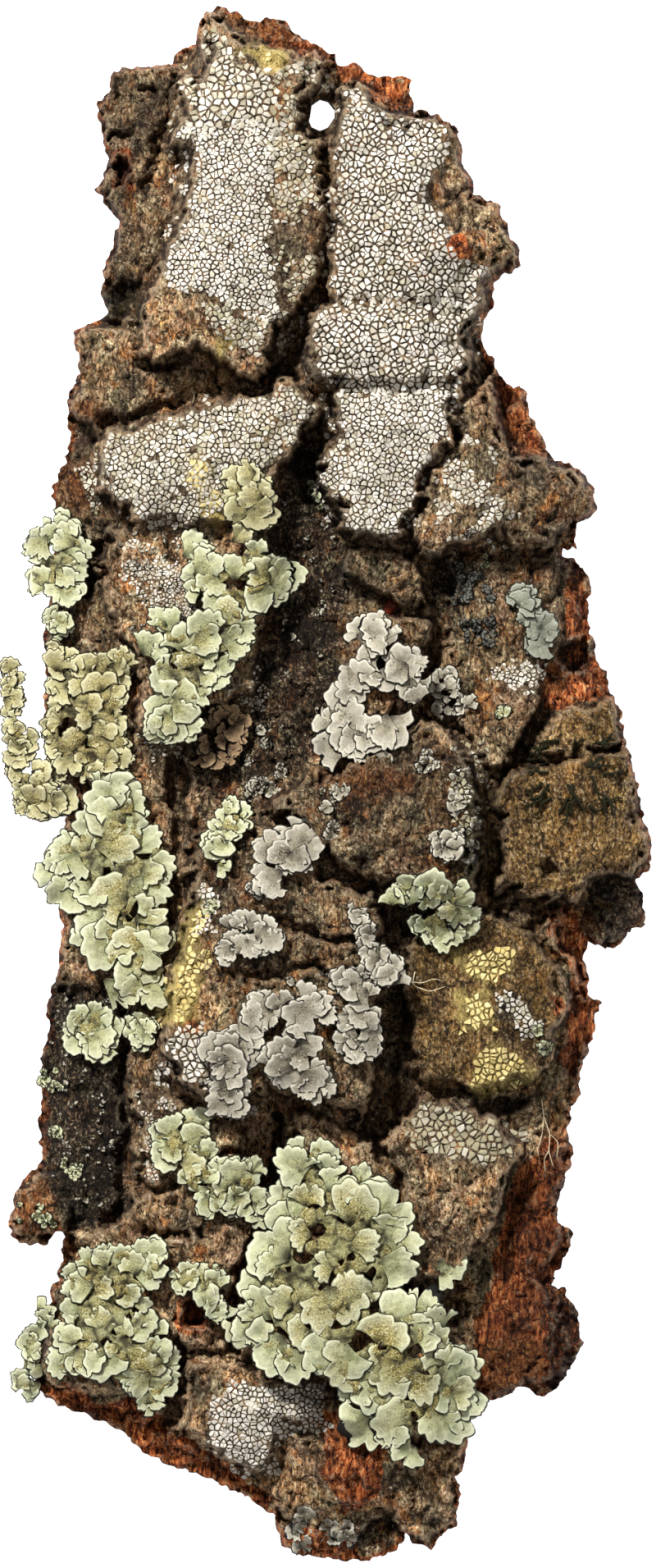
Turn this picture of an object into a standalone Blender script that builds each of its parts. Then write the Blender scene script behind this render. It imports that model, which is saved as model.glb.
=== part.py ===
"""A flat slab of virgin cork bark, outer side up, with the foliose lichens that grow on it.

Metres, +Z up. The plan is drawn on a grid of small squares, counted to the right and down from
the top left corner, and at() turns a square of it into millimetres from the origin. Heights are in
millimetres above the surface that the slab lies on, and the meshes are scaled to metres at the end.
"""

import math

import bmesh
import bpy
import numpy as np
from mathutils import Vector
from mathutils.bvhtree import BVHTree
from mathutils.geometry import delaunay_2d_cdt

MM = 0.001
SQUARE = 0.2  # side of one grid square, in mm
MIDDLE = (399.0, 955.0)  # grid square over the origin
BARK_STEP = 2.1  # spacing of the bark's points before it is thinned, in mm
BARK_FACES = 9600  # triangles the bark keeps
RIM_RINGS = (0.3, 0.7)  # rings round the broken edge, as shares of its height
LEAST_THICK = 4.0  # thinnest cork under a furrow, in mm
RIM_HEIGHT = 8.5  # height of the furrows' floor at the rim, in mm
RIM_SLOPE = (5.0, 9.0)  # how far that floor rises just inside the rim, and over what width, in mm
MIDDLE_SLOPE = (5.0, 32.0)  # how far it rises towards the middle, and over what width, in mm
PLATE_FOOT = 12.0  # height at which each plate's side starts, in mm
PLATE_ROLL = 9.0  # width over which a plate's crown levels out, in mm
RIM_FALL = (0.55, 20.0)  # share of its rise that a plate keeps at the rim, and the band's width in mm
EDGE_WANDER = 0.9  # how far the plates' and pockets' edges stray, in mm
FURROW_WANDER = 0.7  # how far the furrows stray, in mm
SWELL, LUMPS, PITS = 1.5, 0.8, 0.45  # heights of the broad, middle and fine unevenness, in mm
PLATE_SWELL = 1.3  # unevenness of each plate's own crown, in mm
ARCH = 7.5  # how far the back hollows in the middle, in mm
ARCH_REACH = 55.0  # distance from the rim at which the back is fully hollow, in mm
BACK_CLEAR = 1.4  # how far the back stays off the surface it lies on, in mm
FOOT_FLAT, FOOT_BLEND = 5.5, 9.5  # radius of each low spot and of its shoulder, in mm
FEET = ((432, 170), (125, 1600), (655, 1600))  # grid squares of the three low spots
SEAT = 0.32  # gap between a lichen and what it grows on, in mm
SETTLE = 0.4  # the least gap kept where a lichen is let down onto its seat, in mm
BLADE = 0.95  # a lichen's thickness, in mm
STEEPEST = 1.0  # steepest slope that a lichen follows
SEED = 4

# The outline of the slab, clockwise from its top.
OUTLINE = [
    (265, 2), (281, 10), (303, 21), (333, 18), (349, 24), (367, 41), (392, 55), (406, 64),
    (412, 74), (431, 74), (451, 86), (477, 91), (500, 94), (499, 109), (504, 136), (533, 136),
    (544, 149), (560, 156), (565, 178), (571, 205), (576, 236), (585, 238), (609, 246), (618, 272),
    (631, 295), (636, 320), (618, 330), (605, 342), (597, 374), (591, 392), (588, 412), (597, 430),
    (606, 446), (619, 465), (641, 471), (646, 502), (658, 524), (665, 543), (678, 560), (714, 575),
    (723, 592), (729, 619), (712, 630), (703, 638), (705, 668), (690, 668), (688, 676), (712, 684),
    (718, 708), (721, 768), (728, 799), (738, 819), (746, 844), (760, 866), (758, 878), (771, 922),
    (779, 963), (788, 1004), (796, 1042), (796, 1055), (781, 1073), (787, 1106), (790, 1129),
    (765, 1134), (761, 1150), (740, 1160), (720, 1151), (714, 1170), (719, 1196), (717, 1213),
    (736, 1224), (728, 1236), (720, 1275), (713, 1295), (708, 1331), (696, 1354), (691, 1377),
    (699, 1408), (694, 1436), (678, 1465), (681, 1494), (699, 1508), (692, 1534), (679, 1552),
    (671, 1574), (690, 1574), (705, 1603), (713, 1644), (700, 1670), (678, 1698), (659, 1707),
    (641, 1693), (605, 1709), (575, 1712), (567, 1720), (575, 1754), (565, 1795), (554, 1802),
    (563, 1826), (555, 1868), (541, 1873), (526, 1893), (505, 1885), (495, 1873), (483, 1893),
    (447, 1908), (400, 1903), (369, 1902), (346, 1887), (329, 1846), (305, 1830), (274, 1817),
    (238, 1799), (182, 1780), (163, 1762), (144, 1744), (103, 1730), (54, 1708), (38, 1690),
    (42, 1645), (62, 1580), (74, 1539), (76, 1502), (51, 1518), (31, 1521), (12, 1507), (10, 1480),
    (21, 1449), (49, 1418), (46, 1383), (51, 1344), (49, 1306), (59, 1262), (56, 1234), (63, 1200),
    (76, 1150), (72, 1105), (68, 1070), (76, 1025), (85, 985), (64, 945), (55, 905), (52, 870),
    (57, 830), (50, 778), (60, 720), (66, 640), (63, 592), (79, 558), (82, 510), (77, 484),
    (91, 464), (94, 432), (87, 402), (123, 388), (130, 378), (120, 353), (127, 324), (136, 292),
    (140, 267), (127, 244), (113, 226), (124, 212), (130, 188), (124, 163), (114, 130), (131, 108),
    (138, 83), (183, 76), (208, 73), (222, 55), (238, 50), (238, 36), (252, 11),
]

# The hole the slab hangs by, driven through near its top.
HANGING_HOLE = [
    (390, 117), (400, 120), (408, 130), (408, 143), (400, 154), (390, 158), (380, 154), (376, 145),
    (378, 138), (380, 124),
]

# The raised plates: height of the crown, width of the rounded shoulder, extra crown, outline.
PLATES = [
    (20, 3.0, 2, [(118, 90), (208, 76), (214, 95), (212, 135), (200, 165), (186, 200), (180, 235),
                  (208, 250), (205, 285), (195, 320), (170, 345), (168, 390), (131, 385),
                  (124, 350), (135, 295), (140, 265), (125, 230), (128, 170)]),
    (34, 4.2, 6, [(240, 30), (262, 4), (290, 40), (350, 55), (400, 62), (404, 100), (384, 112),
                  (374, 150), (398, 165), (405, 240), (403, 320), (384, 372), (350, 400),
                  (330, 440), (318, 470), (280, 452), (240, 436), (175, 446), (165, 400),
                  (180, 345), (200, 300), (214, 255), (228, 215), (225, 185), (200, 180),
                  (212, 140), (214, 92), (238, 84)]),
    (35, 3.6, 5, [(408, 98), (442, 98), (458, 124), (500, 136), (542, 141), (562, 150),
                  (572, 205), (578, 240), (612, 248), (634, 300), (636, 322), (604, 330),
                  (598, 350), (594, 378), (575, 396), (540, 398), (440, 394), (398, 386),
                  (396, 340), (400, 240), (400, 170), (408, 150), (416, 130)]),
    (39, 4.5, 6, [(372, 395), (385, 372), (410, 362), (440, 362), (480, 368), (560, 366),
                  (592, 372), (580, 400), (578, 430), (575, 455), (560, 480), (500, 485),
                  (430, 482), (402, 478), (375, 455), (365, 425)]),
    (36, 4.0, 4, [(392, 458), (570, 458), (578, 490), (574, 530), (550, 566), (528, 600),
                  (516, 656), (470, 664), (430, 668), (396, 634), (382, 600), (386, 560),
                  (404, 530), (390, 505)]),
    (32, 5.0, 4, [(575, 462), (600, 452), (612, 470), (610, 500), (618, 530), (645, 552),
                  (672, 556), (714, 576), (728, 606), (728, 620), (704, 640), (690, 660),
                  (660, 674), (620, 676), (600, 660), (575, 668), (548, 680), (525, 688),
                  (500, 672), (484, 655), (496, 592), (520, 550), (540, 520), (540, 486)]),
    (24, 3.5, 3, [(90, 397), (140, 394), (170, 400), (178, 446), (240, 440), (235, 480),
                  (200, 500), (160, 508), (120, 512), (85, 500), (78, 484), (92, 462),
                  (94, 438), (88, 410)]),
    (31, 4.5, 6, [(125, 516), (160, 510), (200, 500), (240, 488), (285, 475), (320, 468),
                  (322, 458), (345, 447), (372, 455), (385, 472), (400, 484), (396, 510),
                  (380, 530), (368, 560), (345, 585), (335, 640), (240, 655), (165, 650),
                  (125, 612), (105, 600), (115, 560), (120, 530)]),
    (26, 4.5, 5, [(130, 628), (165, 622), (240, 626), (330, 618), (338, 690), (328, 760),
                  (320, 850), (290, 860), (240, 870), (225, 900), (160, 900), (158, 800),
                  (120, 740), (122, 700)]),
    (17, 3.5, 2, [(60, 560), (115, 560), (130, 640), (150, 760), (205, 900), (215, 1000),
                  (208, 1100), (190, 1200), (75, 1210), (80, 1000), (58, 860), (56, 760)]),
    (27, 4.0, 4, [(430, 665), (470, 656), (492, 668), (520, 690), (530, 715), (528, 740),
                  (495, 745), (470, 735), (420, 720), (405, 690)]),
    (29, 4.5, 5, [(490, 742), (542, 745), (538, 780), (520, 825), (500, 870), (450, 900),
                  (400, 930), (385, 900), (410, 860), (405, 820), (440, 790), (450, 745)]),
    (36, 5.5, 7, [(380, 940), (430, 920), (470, 890), (520, 872), (562, 880), (576, 920),
                  (592, 955), (600, 1000), (592, 1050), (590, 1090), (578, 1105), (520, 1100),
                  (480, 1085), (440, 1075), (400, 1060), (370, 1010), (330, 1000), (300, 985),
                  (340, 960)]),
    (20, 3.5, 3, [(530, 690), (560, 675), (600, 668), (688, 668), (690, 700), (684, 740),
                  (690, 780), (668, 800), (666, 850), (655, 890), (620, 880), (570, 885),
                  (562, 870), (540, 840), (530, 800), (545, 745)]),
    (25, 3.0, 2, [(565, 850), (600, 840), (660, 822), (668, 850), (655, 890), (630, 925),
                  (615, 938), (590, 935), (565, 900)]),
    (27, 4.0, 5, [(600, 950), (625, 935), (660, 890), (690, 862), (746, 845), (758, 880),
                  (772, 940), (786, 1010), (795, 1050), (770, 1068), (728, 1070), (715, 1085),
                  (700, 1102), (660, 1098), (630, 1092), (600, 1090), (596, 1040), (606, 990)]),
    (15, 2.5, 2, [(725, 1070), (781, 1075), (790, 1128), (765, 1135), (740, 1158), (718, 1150),
                  (710, 1110)]),
    (23, 3.0, 2, [(600, 1095), (632, 1094), (662, 1106), (690, 1110), (700, 1190), (715, 1212),
                  (695, 1215), (680, 1170), (660, 1140), (650, 1112)]),
    (34, 6.0, 7, [(225, 1000), (300, 985), (330, 1000), (370, 1010), (400, 1060), (480, 1085),
                  (478, 1140), (470, 1180), (466, 1330), (440, 1370), (400, 1350), (330, 1340),
                  (300, 1362), (262, 1352), (205, 1325), (190, 1260), (190, 1230), (210, 1160),
                  (220, 1100), (228, 1050)]),
    (26, 4.5, 5, [(478, 1140), (560, 1107), (600, 1100), (640, 1115), (664, 1142), (690, 1180),
                  (702, 1212), (690, 1245), (682, 1270), (672, 1305), (650, 1322), (600, 1333),
                  (550, 1337), (520, 1338), (500, 1330), (490, 1250), (480, 1180)]),
    (27, 4.5, 4, [(460, 1390), (500, 1345), (520, 1333), (548, 1338), (575, 1350), (600, 1352),
                  (622, 1380), (660, 1382), (645, 1405), (628, 1435), (612, 1490), (598, 1515),
                  (580, 1530), (568, 1552), (520, 1572), (480, 1575), (475, 1545), (490, 1500),
                  (485, 1450), (465, 1420)]),
    (21, 4.5, 4, [(160, 1290), (205, 1325), (262, 1352), (300, 1362), (335, 1345), (335, 1440),
                  (320, 1500), (312, 1560), (290, 1600), (285, 1660), (225, 1660), (205, 1640),
                  (100, 1520), (80, 1500), (150, 1480), (165, 1440), (155, 1340)]),
    (26, 5.0, 5, [(350, 1340), (400, 1350), (440, 1370), (470, 1400), (490, 1445), (490, 1500),
                  (480, 1570), (520, 1572), (575, 1640), (590, 1700), (570, 1750), (500, 1760),
                  (400, 1690), (290, 1650), (290, 1600), (315, 1500), (345, 1400)]),
    (19, 3.0, 3, [(10, 1490), (20, 1450), (40, 1427), (75, 1430), (82, 1480), (76, 1502),
                  (45, 1523), (15, 1508)]),
    (20, 4.0, 4, [(70, 1560), (100, 1520), (205, 1640), (205, 1730), (185, 1725), (160, 1705),
                  (110, 1705), (50, 1685), (38, 1665)]),
    (22, 4.0, 4, [(225, 1660), (290, 1650), (400, 1690), (395, 1740), (345, 1745), (335, 1800),
                  (300, 1805), (250, 1770), (205, 1745), (225, 1700)]),
    (20, 4.0, 4, [(400, 1690), (500, 1760), (570, 1750), (570, 1770), (560, 1795), (558, 1840),
                  (552, 1870), (515, 1890), (500, 1875), (480, 1850), (400, 1845), (340, 1850),
                  (330, 1835), (335, 1800), (345, 1745), (395, 1740)]),
    (17, 3.0, 2, [(600, 1530), (640, 1440), (690, 1400), (690, 1500), (660, 1560), (705, 1640),
                  (690, 1680), (640, 1690), (600, 1700), (580, 1640), (575, 1590)]),
]

# The furrows between them: half width, depth, line.
FURROWS = [
    (1.2, 14, [(405, 100), (392, 138), (400, 200), (402, 260), (400, 330), (385, 365),
               (370, 385)]),
    (1.6, 14, [(365, 400), (362, 430), (372, 460), (395, 480), (400, 520), (385, 545),
               (372, 570), (380, 600), (400, 620), (415, 640)]),
    (0.9, 12, [(575, 470), (560, 482), (552, 490), (556, 520), (558, 530), (535, 552),
               (518, 575), (508, 605), (505, 620), (497, 650)]),
    (1.8, 13, [(520, 690), (535, 740), (530, 800), (520, 830), (545, 870), (565, 900),
               (590, 950), (604, 1000), (598, 1060), (590, 1100)]),
    (2.8, 12, [(480, 1100), (478, 1150), (475, 1250), (470, 1330), (455, 1380)]),
    (1.6, 14, [(215, 960), (218, 1010), (212, 1060), (208, 1120), (205, 1170), (190, 1200)]),
    (1.5, 8, [(155, 1200), (150, 1260), (155, 1340), (150, 1400), (150, 1470), (130, 1495)]),
    (1.3, 9, [(340, 1345), (338, 1400), (325, 1440), (330, 1500), (300, 1530), (288, 1580),
              (286, 1640)]),
    (1.3, 8, [(220, 1640), (215, 1680), (210, 1730), (195, 1740)]),
    (0.8, 5, [(160, 442), (200, 438), (240, 440)]),
    (0.8, 6, [(620, 940), (690, 920), (760, 915)]),
    (1.0, 6, [(165, 1450), (215, 1448)]),
    (1.0, 6, [(165, 1505), (250, 1500)]),
    (1.0, 6, [(262, 1405), (310, 1400)]),
    (1.4, 7, [(330, 1122), (400, 1140), (480, 1150)]),
    (0.9, 5, [(300, 1190), (380, 1180), (470, 1195)]),
    (1.2, 7, [(632, 1098), (690, 1100)]),
    (0.9, 4, [(135, 118), (208, 113)]),
    (0.9, 4, [(126, 166), (164, 163)]),
]

# Pockets where cork has broken out: middle, half sizes in grid squares, depth in mm.
POCKETS = [
    ((147, 205), (14, 22), 9), ((344, 425), (24, 26), 15), ((105, 710), (16, 20), 7),
    ((118, 674), (20, 14), 8), ((145, 630), (20, 20), 7), ((700, 800), (20, 20), 9),
    ((600, 1348), (48, 11), 10), ((545, 1600), (24, 20), 9), ((220, 950), (18, 46), 8),
    ((668, 1055), (9, 14), 6), ((540, 705), (18, 30), 8), ((235, 1602), (20, 22), 7),
    ((460, 1872), (24, 18), 6), ((150, 365), (18, 28), 6), ((622, 485), (18, 10), 8),
    ((690, 1640), (22, 55), 4),
]

# The foliose lichens: colour, how far tips lift, size of a lobe, outline. Sizes are in mm.
GREEN, OLIVE, GREY, BLUE_GREY, UMBER = "#BFC7A2", "#A9AF7C", "#C2C5B6", "#9FA9A6", "#4A3B2E"
LICHENS = {
    "green_lichen_upper_left": (GREEN, 2.2, 3.6, [
        (58, 630), (68, 614), (76, 628), (90, 619), (94, 640), (100, 655), (116, 684), (96, 694),
        (100, 712), (92, 732), (74, 740), (60, 728), (40, 718), (34, 704), (38, 688), (23, 660),
        (36, 655), (50, 654)]),
    "green_lichen_upper_left_tail": (GREEN, 1.6, 3.0, [
        (58, 744), (72, 748), (87, 757), (83, 773), (66, 776), (55, 762)]),
    "green_lichen_crown": (OLIVE, 1.4, 3.4, [
        (284, 574), (302, 567), (326, 585), (334, 602), (339, 626), (328, 642), (298, 650),
        (280, 632), (276, 600)]),
    "green_lichen_middle": (GREEN, 2.6, 4.2, [
        (230, 660), (250, 658), (268, 678), (282, 688), (292, 666), (312, 657), (342, 682),
        (360, 683), (364, 712), (346, 737), (312, 756), (312, 777), (291, 802), (264, 802),
        (282, 817), (264, 852), (246, 860), (246, 877), (233, 902), (213, 907), (186, 902),
        (180, 888), (188, 870), (176, 858), (188, 840), (180, 800), (198, 785), (180, 750),
        (186, 741), (216, 768), (254, 744), (248, 730), (226, 722), (227, 700)]),
    "green_lichen_left_upper": (OLIVE, 1.6, 3.8, [
        (60, 790), (76, 776), (92, 800), (125, 798), (150, 787), (166, 801), (152, 830),
        (163, 846), (150, 862), (155, 895), (162, 926), (150, 946), (112, 952), (84, 944),
        (62, 958), (57, 925), (50, 886), (60, 868), (56, 820)]),
    "green_lichen_left_lower": (GREEN, 3.0, 4.8, [
        (96, 962), (120, 958), (152, 956), (166, 958), (176, 990), (186, 1001), (186, 1024),
        (213, 1010), (211, 1040), (210, 1070), (203, 1088), (203, 1100), (208, 1116),
        (207, 1160), (190, 1180), (197, 1191), (183, 1231), (169, 1233), (154, 1216),
        (140, 1192), (114, 1176), (103, 1160), (120, 1140), (96, 1134), (84, 1118), (96, 1086),
        (88, 1062), (68, 1106), (59, 1050), (64, 1025), (96, 1000)]),
    "green_lichen_left_hanging": (GREEN, 1.2, 3.4, [
        (6, 806), (13, 818), (25, 822), (23, 837), (28, 858), (24, 878), (34, 893), (45, 896),
        (38, 909), (38, 920), (29, 936), (42, 942), (54, 930), (62, 950), (66, 966), (88, 974),
        (86, 988), (70, 993), (50, 999), (34, 992), (20, 988), (17, 963), (11, 943), (4, 919),
        (5, 896), (2, 853)]),
    "green_lichen_left_edge": (GREEN, 1.8, 3.4, [
        (80, 1240), (100, 1223), (122, 1224), (127, 1240), (146, 1245), (146, 1270), (136, 1277),
        (122, 1291), (107, 1290), (94, 1266), (79, 1272)]),
    "green_lichen_small_tongue": (GREEN, 1.2, 3.0, [
        (155, 1240), (166, 1236), (184, 1246), (188, 1256), (173, 1271), (167, 1280),
        (157, 1262)]),
    "green_lichen_lower_middle": (GREEN, 2.2, 3.8, [
        (185, 1380), (196, 1367), (246, 1352), (253, 1370), (264, 1405), (258, 1422),
        (296, 1409), (313, 1410), (312, 1424), (322, 1455), (338, 1478), (325, 1492),
        (285, 1480), (244, 1477), (238, 1460), (204, 1422), (188, 1416), (178, 1400)]),
    "green_lichen_bottom_right": (GREEN, 3.2, 5.0, [
        (341, 1395), (366, 1401), (379, 1385), (399, 1391), (413, 1412), (426, 1429),
        (441, 1409), (461, 1439), (491, 1444), (491, 1476), (493, 1501), (521, 1512),
        (516, 1533), (482, 1541), (500, 1574), (530, 1562), (556, 1549), (566, 1571),
        (532, 1582), (530, 1600), (532, 1619), (556, 1617), (562, 1640), (577, 1645),
        (582, 1681), (592, 1691), (586, 1712), (569, 1742), (556, 1762), (536, 1747),
        (511, 1767), (491, 1747), (486, 1782), (470, 1785), (454, 1767), (454, 1742),
        (452, 1721), (432, 1712), (410, 1702), (399, 1682), (374, 1684), (350, 1681),
        (329, 1661), (306, 1655), (289, 1645), (285, 1622), (287, 1600), (294, 1560),
        (315, 1540), (299, 1529), (311, 1495), (329, 1480), (332, 1460), (334, 1440)]),
    "green_lichen_bottom_left": (GREEN, 3.0, 4.6, [
        (70, 1556), (100, 1524), (125, 1518), (165, 1516), (176, 1508), (213, 1523),
        (201, 1550), (177, 1590), (199, 1611), (192, 1625), (223, 1655), (216, 1691),
        (206, 1698), (196, 1711), (185, 1723), (165, 1711), (154, 1692), (132, 1682),
        (110, 1677), (84, 1680), (60, 1672), (62, 1640), (74, 1600), (82, 1580)]),
    "green_lichen_bottom_left_flap": (GREEN, 1.4, 3.8, [
        (56, 1580), (66, 1596), (54, 1625), (50, 1650), (40, 1676), (42, 1700), (38, 1714),
        (20, 1700), (11, 1686), (21, 1670), (24, 1636), (44, 1604)]),
    "green_lichen_centre_tuft": (GREEN, 2.0, 3.2, [
        (270, 977), (286, 974), (309, 993), (293, 1018), (281, 1040), (279, 1063), (270, 1061),
        (264, 1045), (247, 1031), (261, 1015), (249, 1007), (267, 1000)]),
    "green_lichen_right_tuft": (GREEN, 2.2, 3.4, [
        (475, 1090), (483, 1079), (510, 1069), (546, 1059), (559, 1084), (571, 1079),
        (584, 1115), (581, 1131), (565, 1131), (549, 1156), (534, 1151), (510, 1135),
        (500, 1122), (522, 1108), (510, 1099), (485, 1099)]),
    "green_lichen_low_tuft": (GREEN, 1.6, 3.0, [
        (204, 1550), (225, 1539), (248, 1543), (269, 1549), (274, 1562), (265, 1573),
        (276, 1595), (263, 1612), (250, 1598), (244, 1580), (214, 1571)]),
    "grey_lichen_centre": (GREY, 1.8, 3.4, [
        (434, 755), (462, 741), (471, 755), (486, 760), (477, 785), (496, 790), (521, 805),
        (506, 830), (509, 846), (486, 859), (470, 841), (455, 834), (446, 851), (429, 851),
        (409, 826), (429, 800), (444, 790), (439, 775)]),
    "grey_lichen_centre_low": (GREY, 1.6, 3.2, [
        (384, 872), (405, 838), (424, 858), (440, 862), (456, 882), (484, 881), (491, 906),
        (466, 911), (450, 926), (430, 929), (408, 906), (385, 916)]),
    "grey_lichen_knoll": (GREY, 1.4, 3.2, [
        (304, 1046), (318, 1019), (346, 1004), (371, 1002), (386, 1010), (393, 1025),
        (379, 1056), (356, 1063), (336, 1081), (330, 1096), (318, 1100), (312, 1076)]),
    "grey_lichen_ledge": (GREY, 1.4, 3.2, [
        (284, 1104), (310, 1116), (336, 1140), (334, 1156), (306, 1166), (268, 1166),
        (257, 1155), (276, 1148), (282, 1126)]),
    "grey_lichen_dome_left": (GREY, 1.5, 3.2, [
        (250, 1262), (276, 1250), (296, 1240), (298, 1216), (322, 1204), (343, 1216),
        (344, 1244), (322, 1256), (316, 1288), (300, 1306), (306, 1326), (300, 1352),
        (272, 1362), (256, 1342), (262, 1310), (250, 1290)]),
    "grey_lichen_dome_right": (GREY, 1.5, 3.4, [
        (346, 1226), (372, 1212), (400, 1214), (404, 1244), (392, 1272), (402, 1300),
        (400, 1340), (382, 1346), (366, 1326), (342, 1328), (322, 1306), (324, 1272),
        (346, 1262)]),
    "grey_lichen_dome_edge": (GREY, 1.5, 3.2, [
        (404, 1186), (432, 1178), (460, 1190), (458, 1224), (466, 1246), (462, 1284),
        (436, 1292), (412, 1278), (410, 1248), (412, 1216)]),
    "grey_lichen_furrow_chips": (GREY, 1.6, 2.8, [
        (428, 1120), (441, 1109), (457, 1128), (453, 1148), (472, 1158), (491, 1176),
        (489, 1191), (470, 1197), (452, 1186), (440, 1162)]),
    "grey_lichen_slope": (GREY, 1.2, 2.8, [
        (524, 1024), (545, 1013), (562, 1020), (560, 1036), (546, 1047), (530, 1042)]),
    "blue_grey_lichen_right": (BLUE_GREY, 2.0, 3.0, [
        (621, 722), (635, 711), (649, 714), (660, 730), (656, 742), (671, 748), (682, 765),
        (666, 786), (655, 797), (643, 791), (643, 770), (633, 756), (630, 740)]),
    "grey_squamules_right": (GREY, 1.4, 2.6, [
        (524, 834), (536, 819), (551, 814), (564, 850), (577, 852), (556, 869), (535, 869)]),
    "umber_rosette": (UMBER, 1.2, 2.8, [
        (244, 884), (262, 864), (286, 860), (302, 876), (300, 904), (284, 930), (258, 934),
        (242, 912)]),
}


def grain(x, y, size, seed):
    """Smooth noise between -1 and 1 whose bumps are about size wide."""
    table = np.random.default_rng(seed).uniform(-1, 1, (97, 89))
    x, y = x / size + 31.7, y / size + 57.3
    i, j = np.floor(x).astype(int), np.floor(y).astype(int)
    s, t = x - i, y - j
    s, t = s * s * (3 - 2 * s), t * t * (3 - 2 * t)
    low = table[i % 97, j % 89] * (1 - s) + table[(i + 1) % 97, j % 89] * s
    high = table[i % 97, (j + 1) % 89] * (1 - s) + table[(i + 1) % 97, (j + 1) % 89] * s
    return low * (1 - t) + high * t


def at(squares):
    """Plan millimetres of grid squares."""
    squares = np.asarray(squares, float).reshape(-1, 2)
    return (squares - MIDDLE) * (SQUARE, -SQUARE)


def smooth(value):
    value = np.clip(value, 0, 1)
    return value * value * (3 - 2 * value)


def depth_inside(points, outline):
    """How far each point lies inside a closed outline, below zero outside."""
    x, y = points.T
    inside = np.zeros(len(points), bool)
    nearest = np.full(len(points), np.inf)
    for (ax, ay), (bx, by) in zip(outline, np.roll(outline, -1, axis=0)):
        dx, dy = bx - ax, by - ay
        share = np.clip(((x - ax) * dx + (y - ay) * dy) / (dx * dx + dy * dy + 1e-12), 0, 1)
        nearest = np.minimum(nearest, np.hypot(x - ax - share * dx, y - ay - share * dy))
        if ay != by:
            inside ^= ((ay > y) != (by > y)) & (x < ax + (y - ay) * dx / dy)
    return np.where(inside, nearest, -nearest)


def line_distance(points, line):
    nearest = np.full(len(points), np.inf)
    for a, b in zip(line[:-1], line[1:]):
        run = b - a
        share = np.clip((points - a) @ run / (run @ run), 0, 1)
        nearest = np.minimum(nearest, np.hypot(*(points - a - share[:, None] * run).T))
    return nearest


def bark_top(points):
    """Height of the bark's outer face over each plan point, in mm."""
    x, y = points.T
    wander = np.stack([grain(x, y, 7, 11), grain(x, y, 7, 12)], axis=1)
    wander += 0.6 * np.stack([grain(x, y, 3, 13), grain(x, y, 3, 14)], axis=1)
    ragged = points + EDGE_WANDER * wander
    to_rim = depth_inside(points, at(OUTLINE))
    height = RIM_HEIGHT + SWELL * grain(x, y, 13, 15)
    for rise, width in (RIM_SLOPE, MIDDLE_SLOPE):
        height = height + rise * smooth(to_rim / width)
    kept, band = RIM_FALL
    share = kept + (1 - kept) * smooth(to_rim / band)
    for number, (crown, shoulder, extra, outline) in enumerate(PLATES):
        depth = depth_inside(ragged, at(outline))
        rise = 1 - (1 - np.clip(depth / shoulder, 0, 1)) ** 2
        rise = rise * (crown - PLATE_FOOT) + extra * (1 - np.exp(-np.maximum(depth, 0) / PLATE_ROLL))
        rise = share * rise + PLATE_SWELL * grain(x, y, 9, 30 + number)
        height = np.where(depth > 0, np.maximum(height, PLATE_FOOT + rise), height)
    for half, deep, line in FURROWS:
        near = line_distance(points + FURROW_WANDER * wander, at(line))
        height = height - deep * (1 - smooth((near / half - 0.35) / 1.3))
    for (u, v), (wide, tall), deep in POCKETS:
        away = np.hypot(*((ragged - at((u, v))) / (wide * SQUARE, tall * SQUARE)).T)
        height = height - deep * (1 - smooth((away - 0.55) / 0.5))
    height = height + LUMPS * grain(x * 1.6, y * 0.8, 4.2, 16) + PITS * grain(x, y, 2.2, 17)
    hole = -depth_inside(points, at(HANGING_HOLE))
    return height - 6 * (1 - smooth(hole / 4))


def bark_back(points):
    """Height of the slab's hollow back over each plan point, in mm."""
    x, y = points.T
    across = np.clip(depth_inside(points, at(OUTLINE)) / ARCH_REACH, 0, 1)
    height = BACK_CLEAR + ARCH * (1 - (1 - across) ** 2)
    height += 0.9 + 0.9 * grain(x * 1.8, y * 0.5, 9, 21) + 0.4 * grain(x, y, 4, 22)
    height = np.maximum(height, BACK_CLEAR)
    for foot in FEET:
        away = np.hypot(*(points - at(foot)).T)
        height = height * smooth((away - FOOT_FLAT) / (FOOT_BLEND - FOOT_FLAT))
    return height


def divided(outline, step, sway, seed):
    """A closed outline with a point about every step, swaying in and out."""
    made = []
    for a, b in zip(outline, np.roll(outline, -1, axis=0)):
        count = max(1, round(math.hypot(*(b - a)) / step))
        made += [a + (b - a) * k / count for k in range(count)]
    made = np.array(made)
    along = np.roll(made, -1, axis=0) - np.roll(made, 1, axis=0)
    across = np.stack([along[:, 1], -along[:, 0]], axis=1)
    across /= np.hypot(*across.T)[:, None] + 1e-9
    return made + across * (sway * grain(*made.T, 2.6, seed))[:, None]


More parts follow.
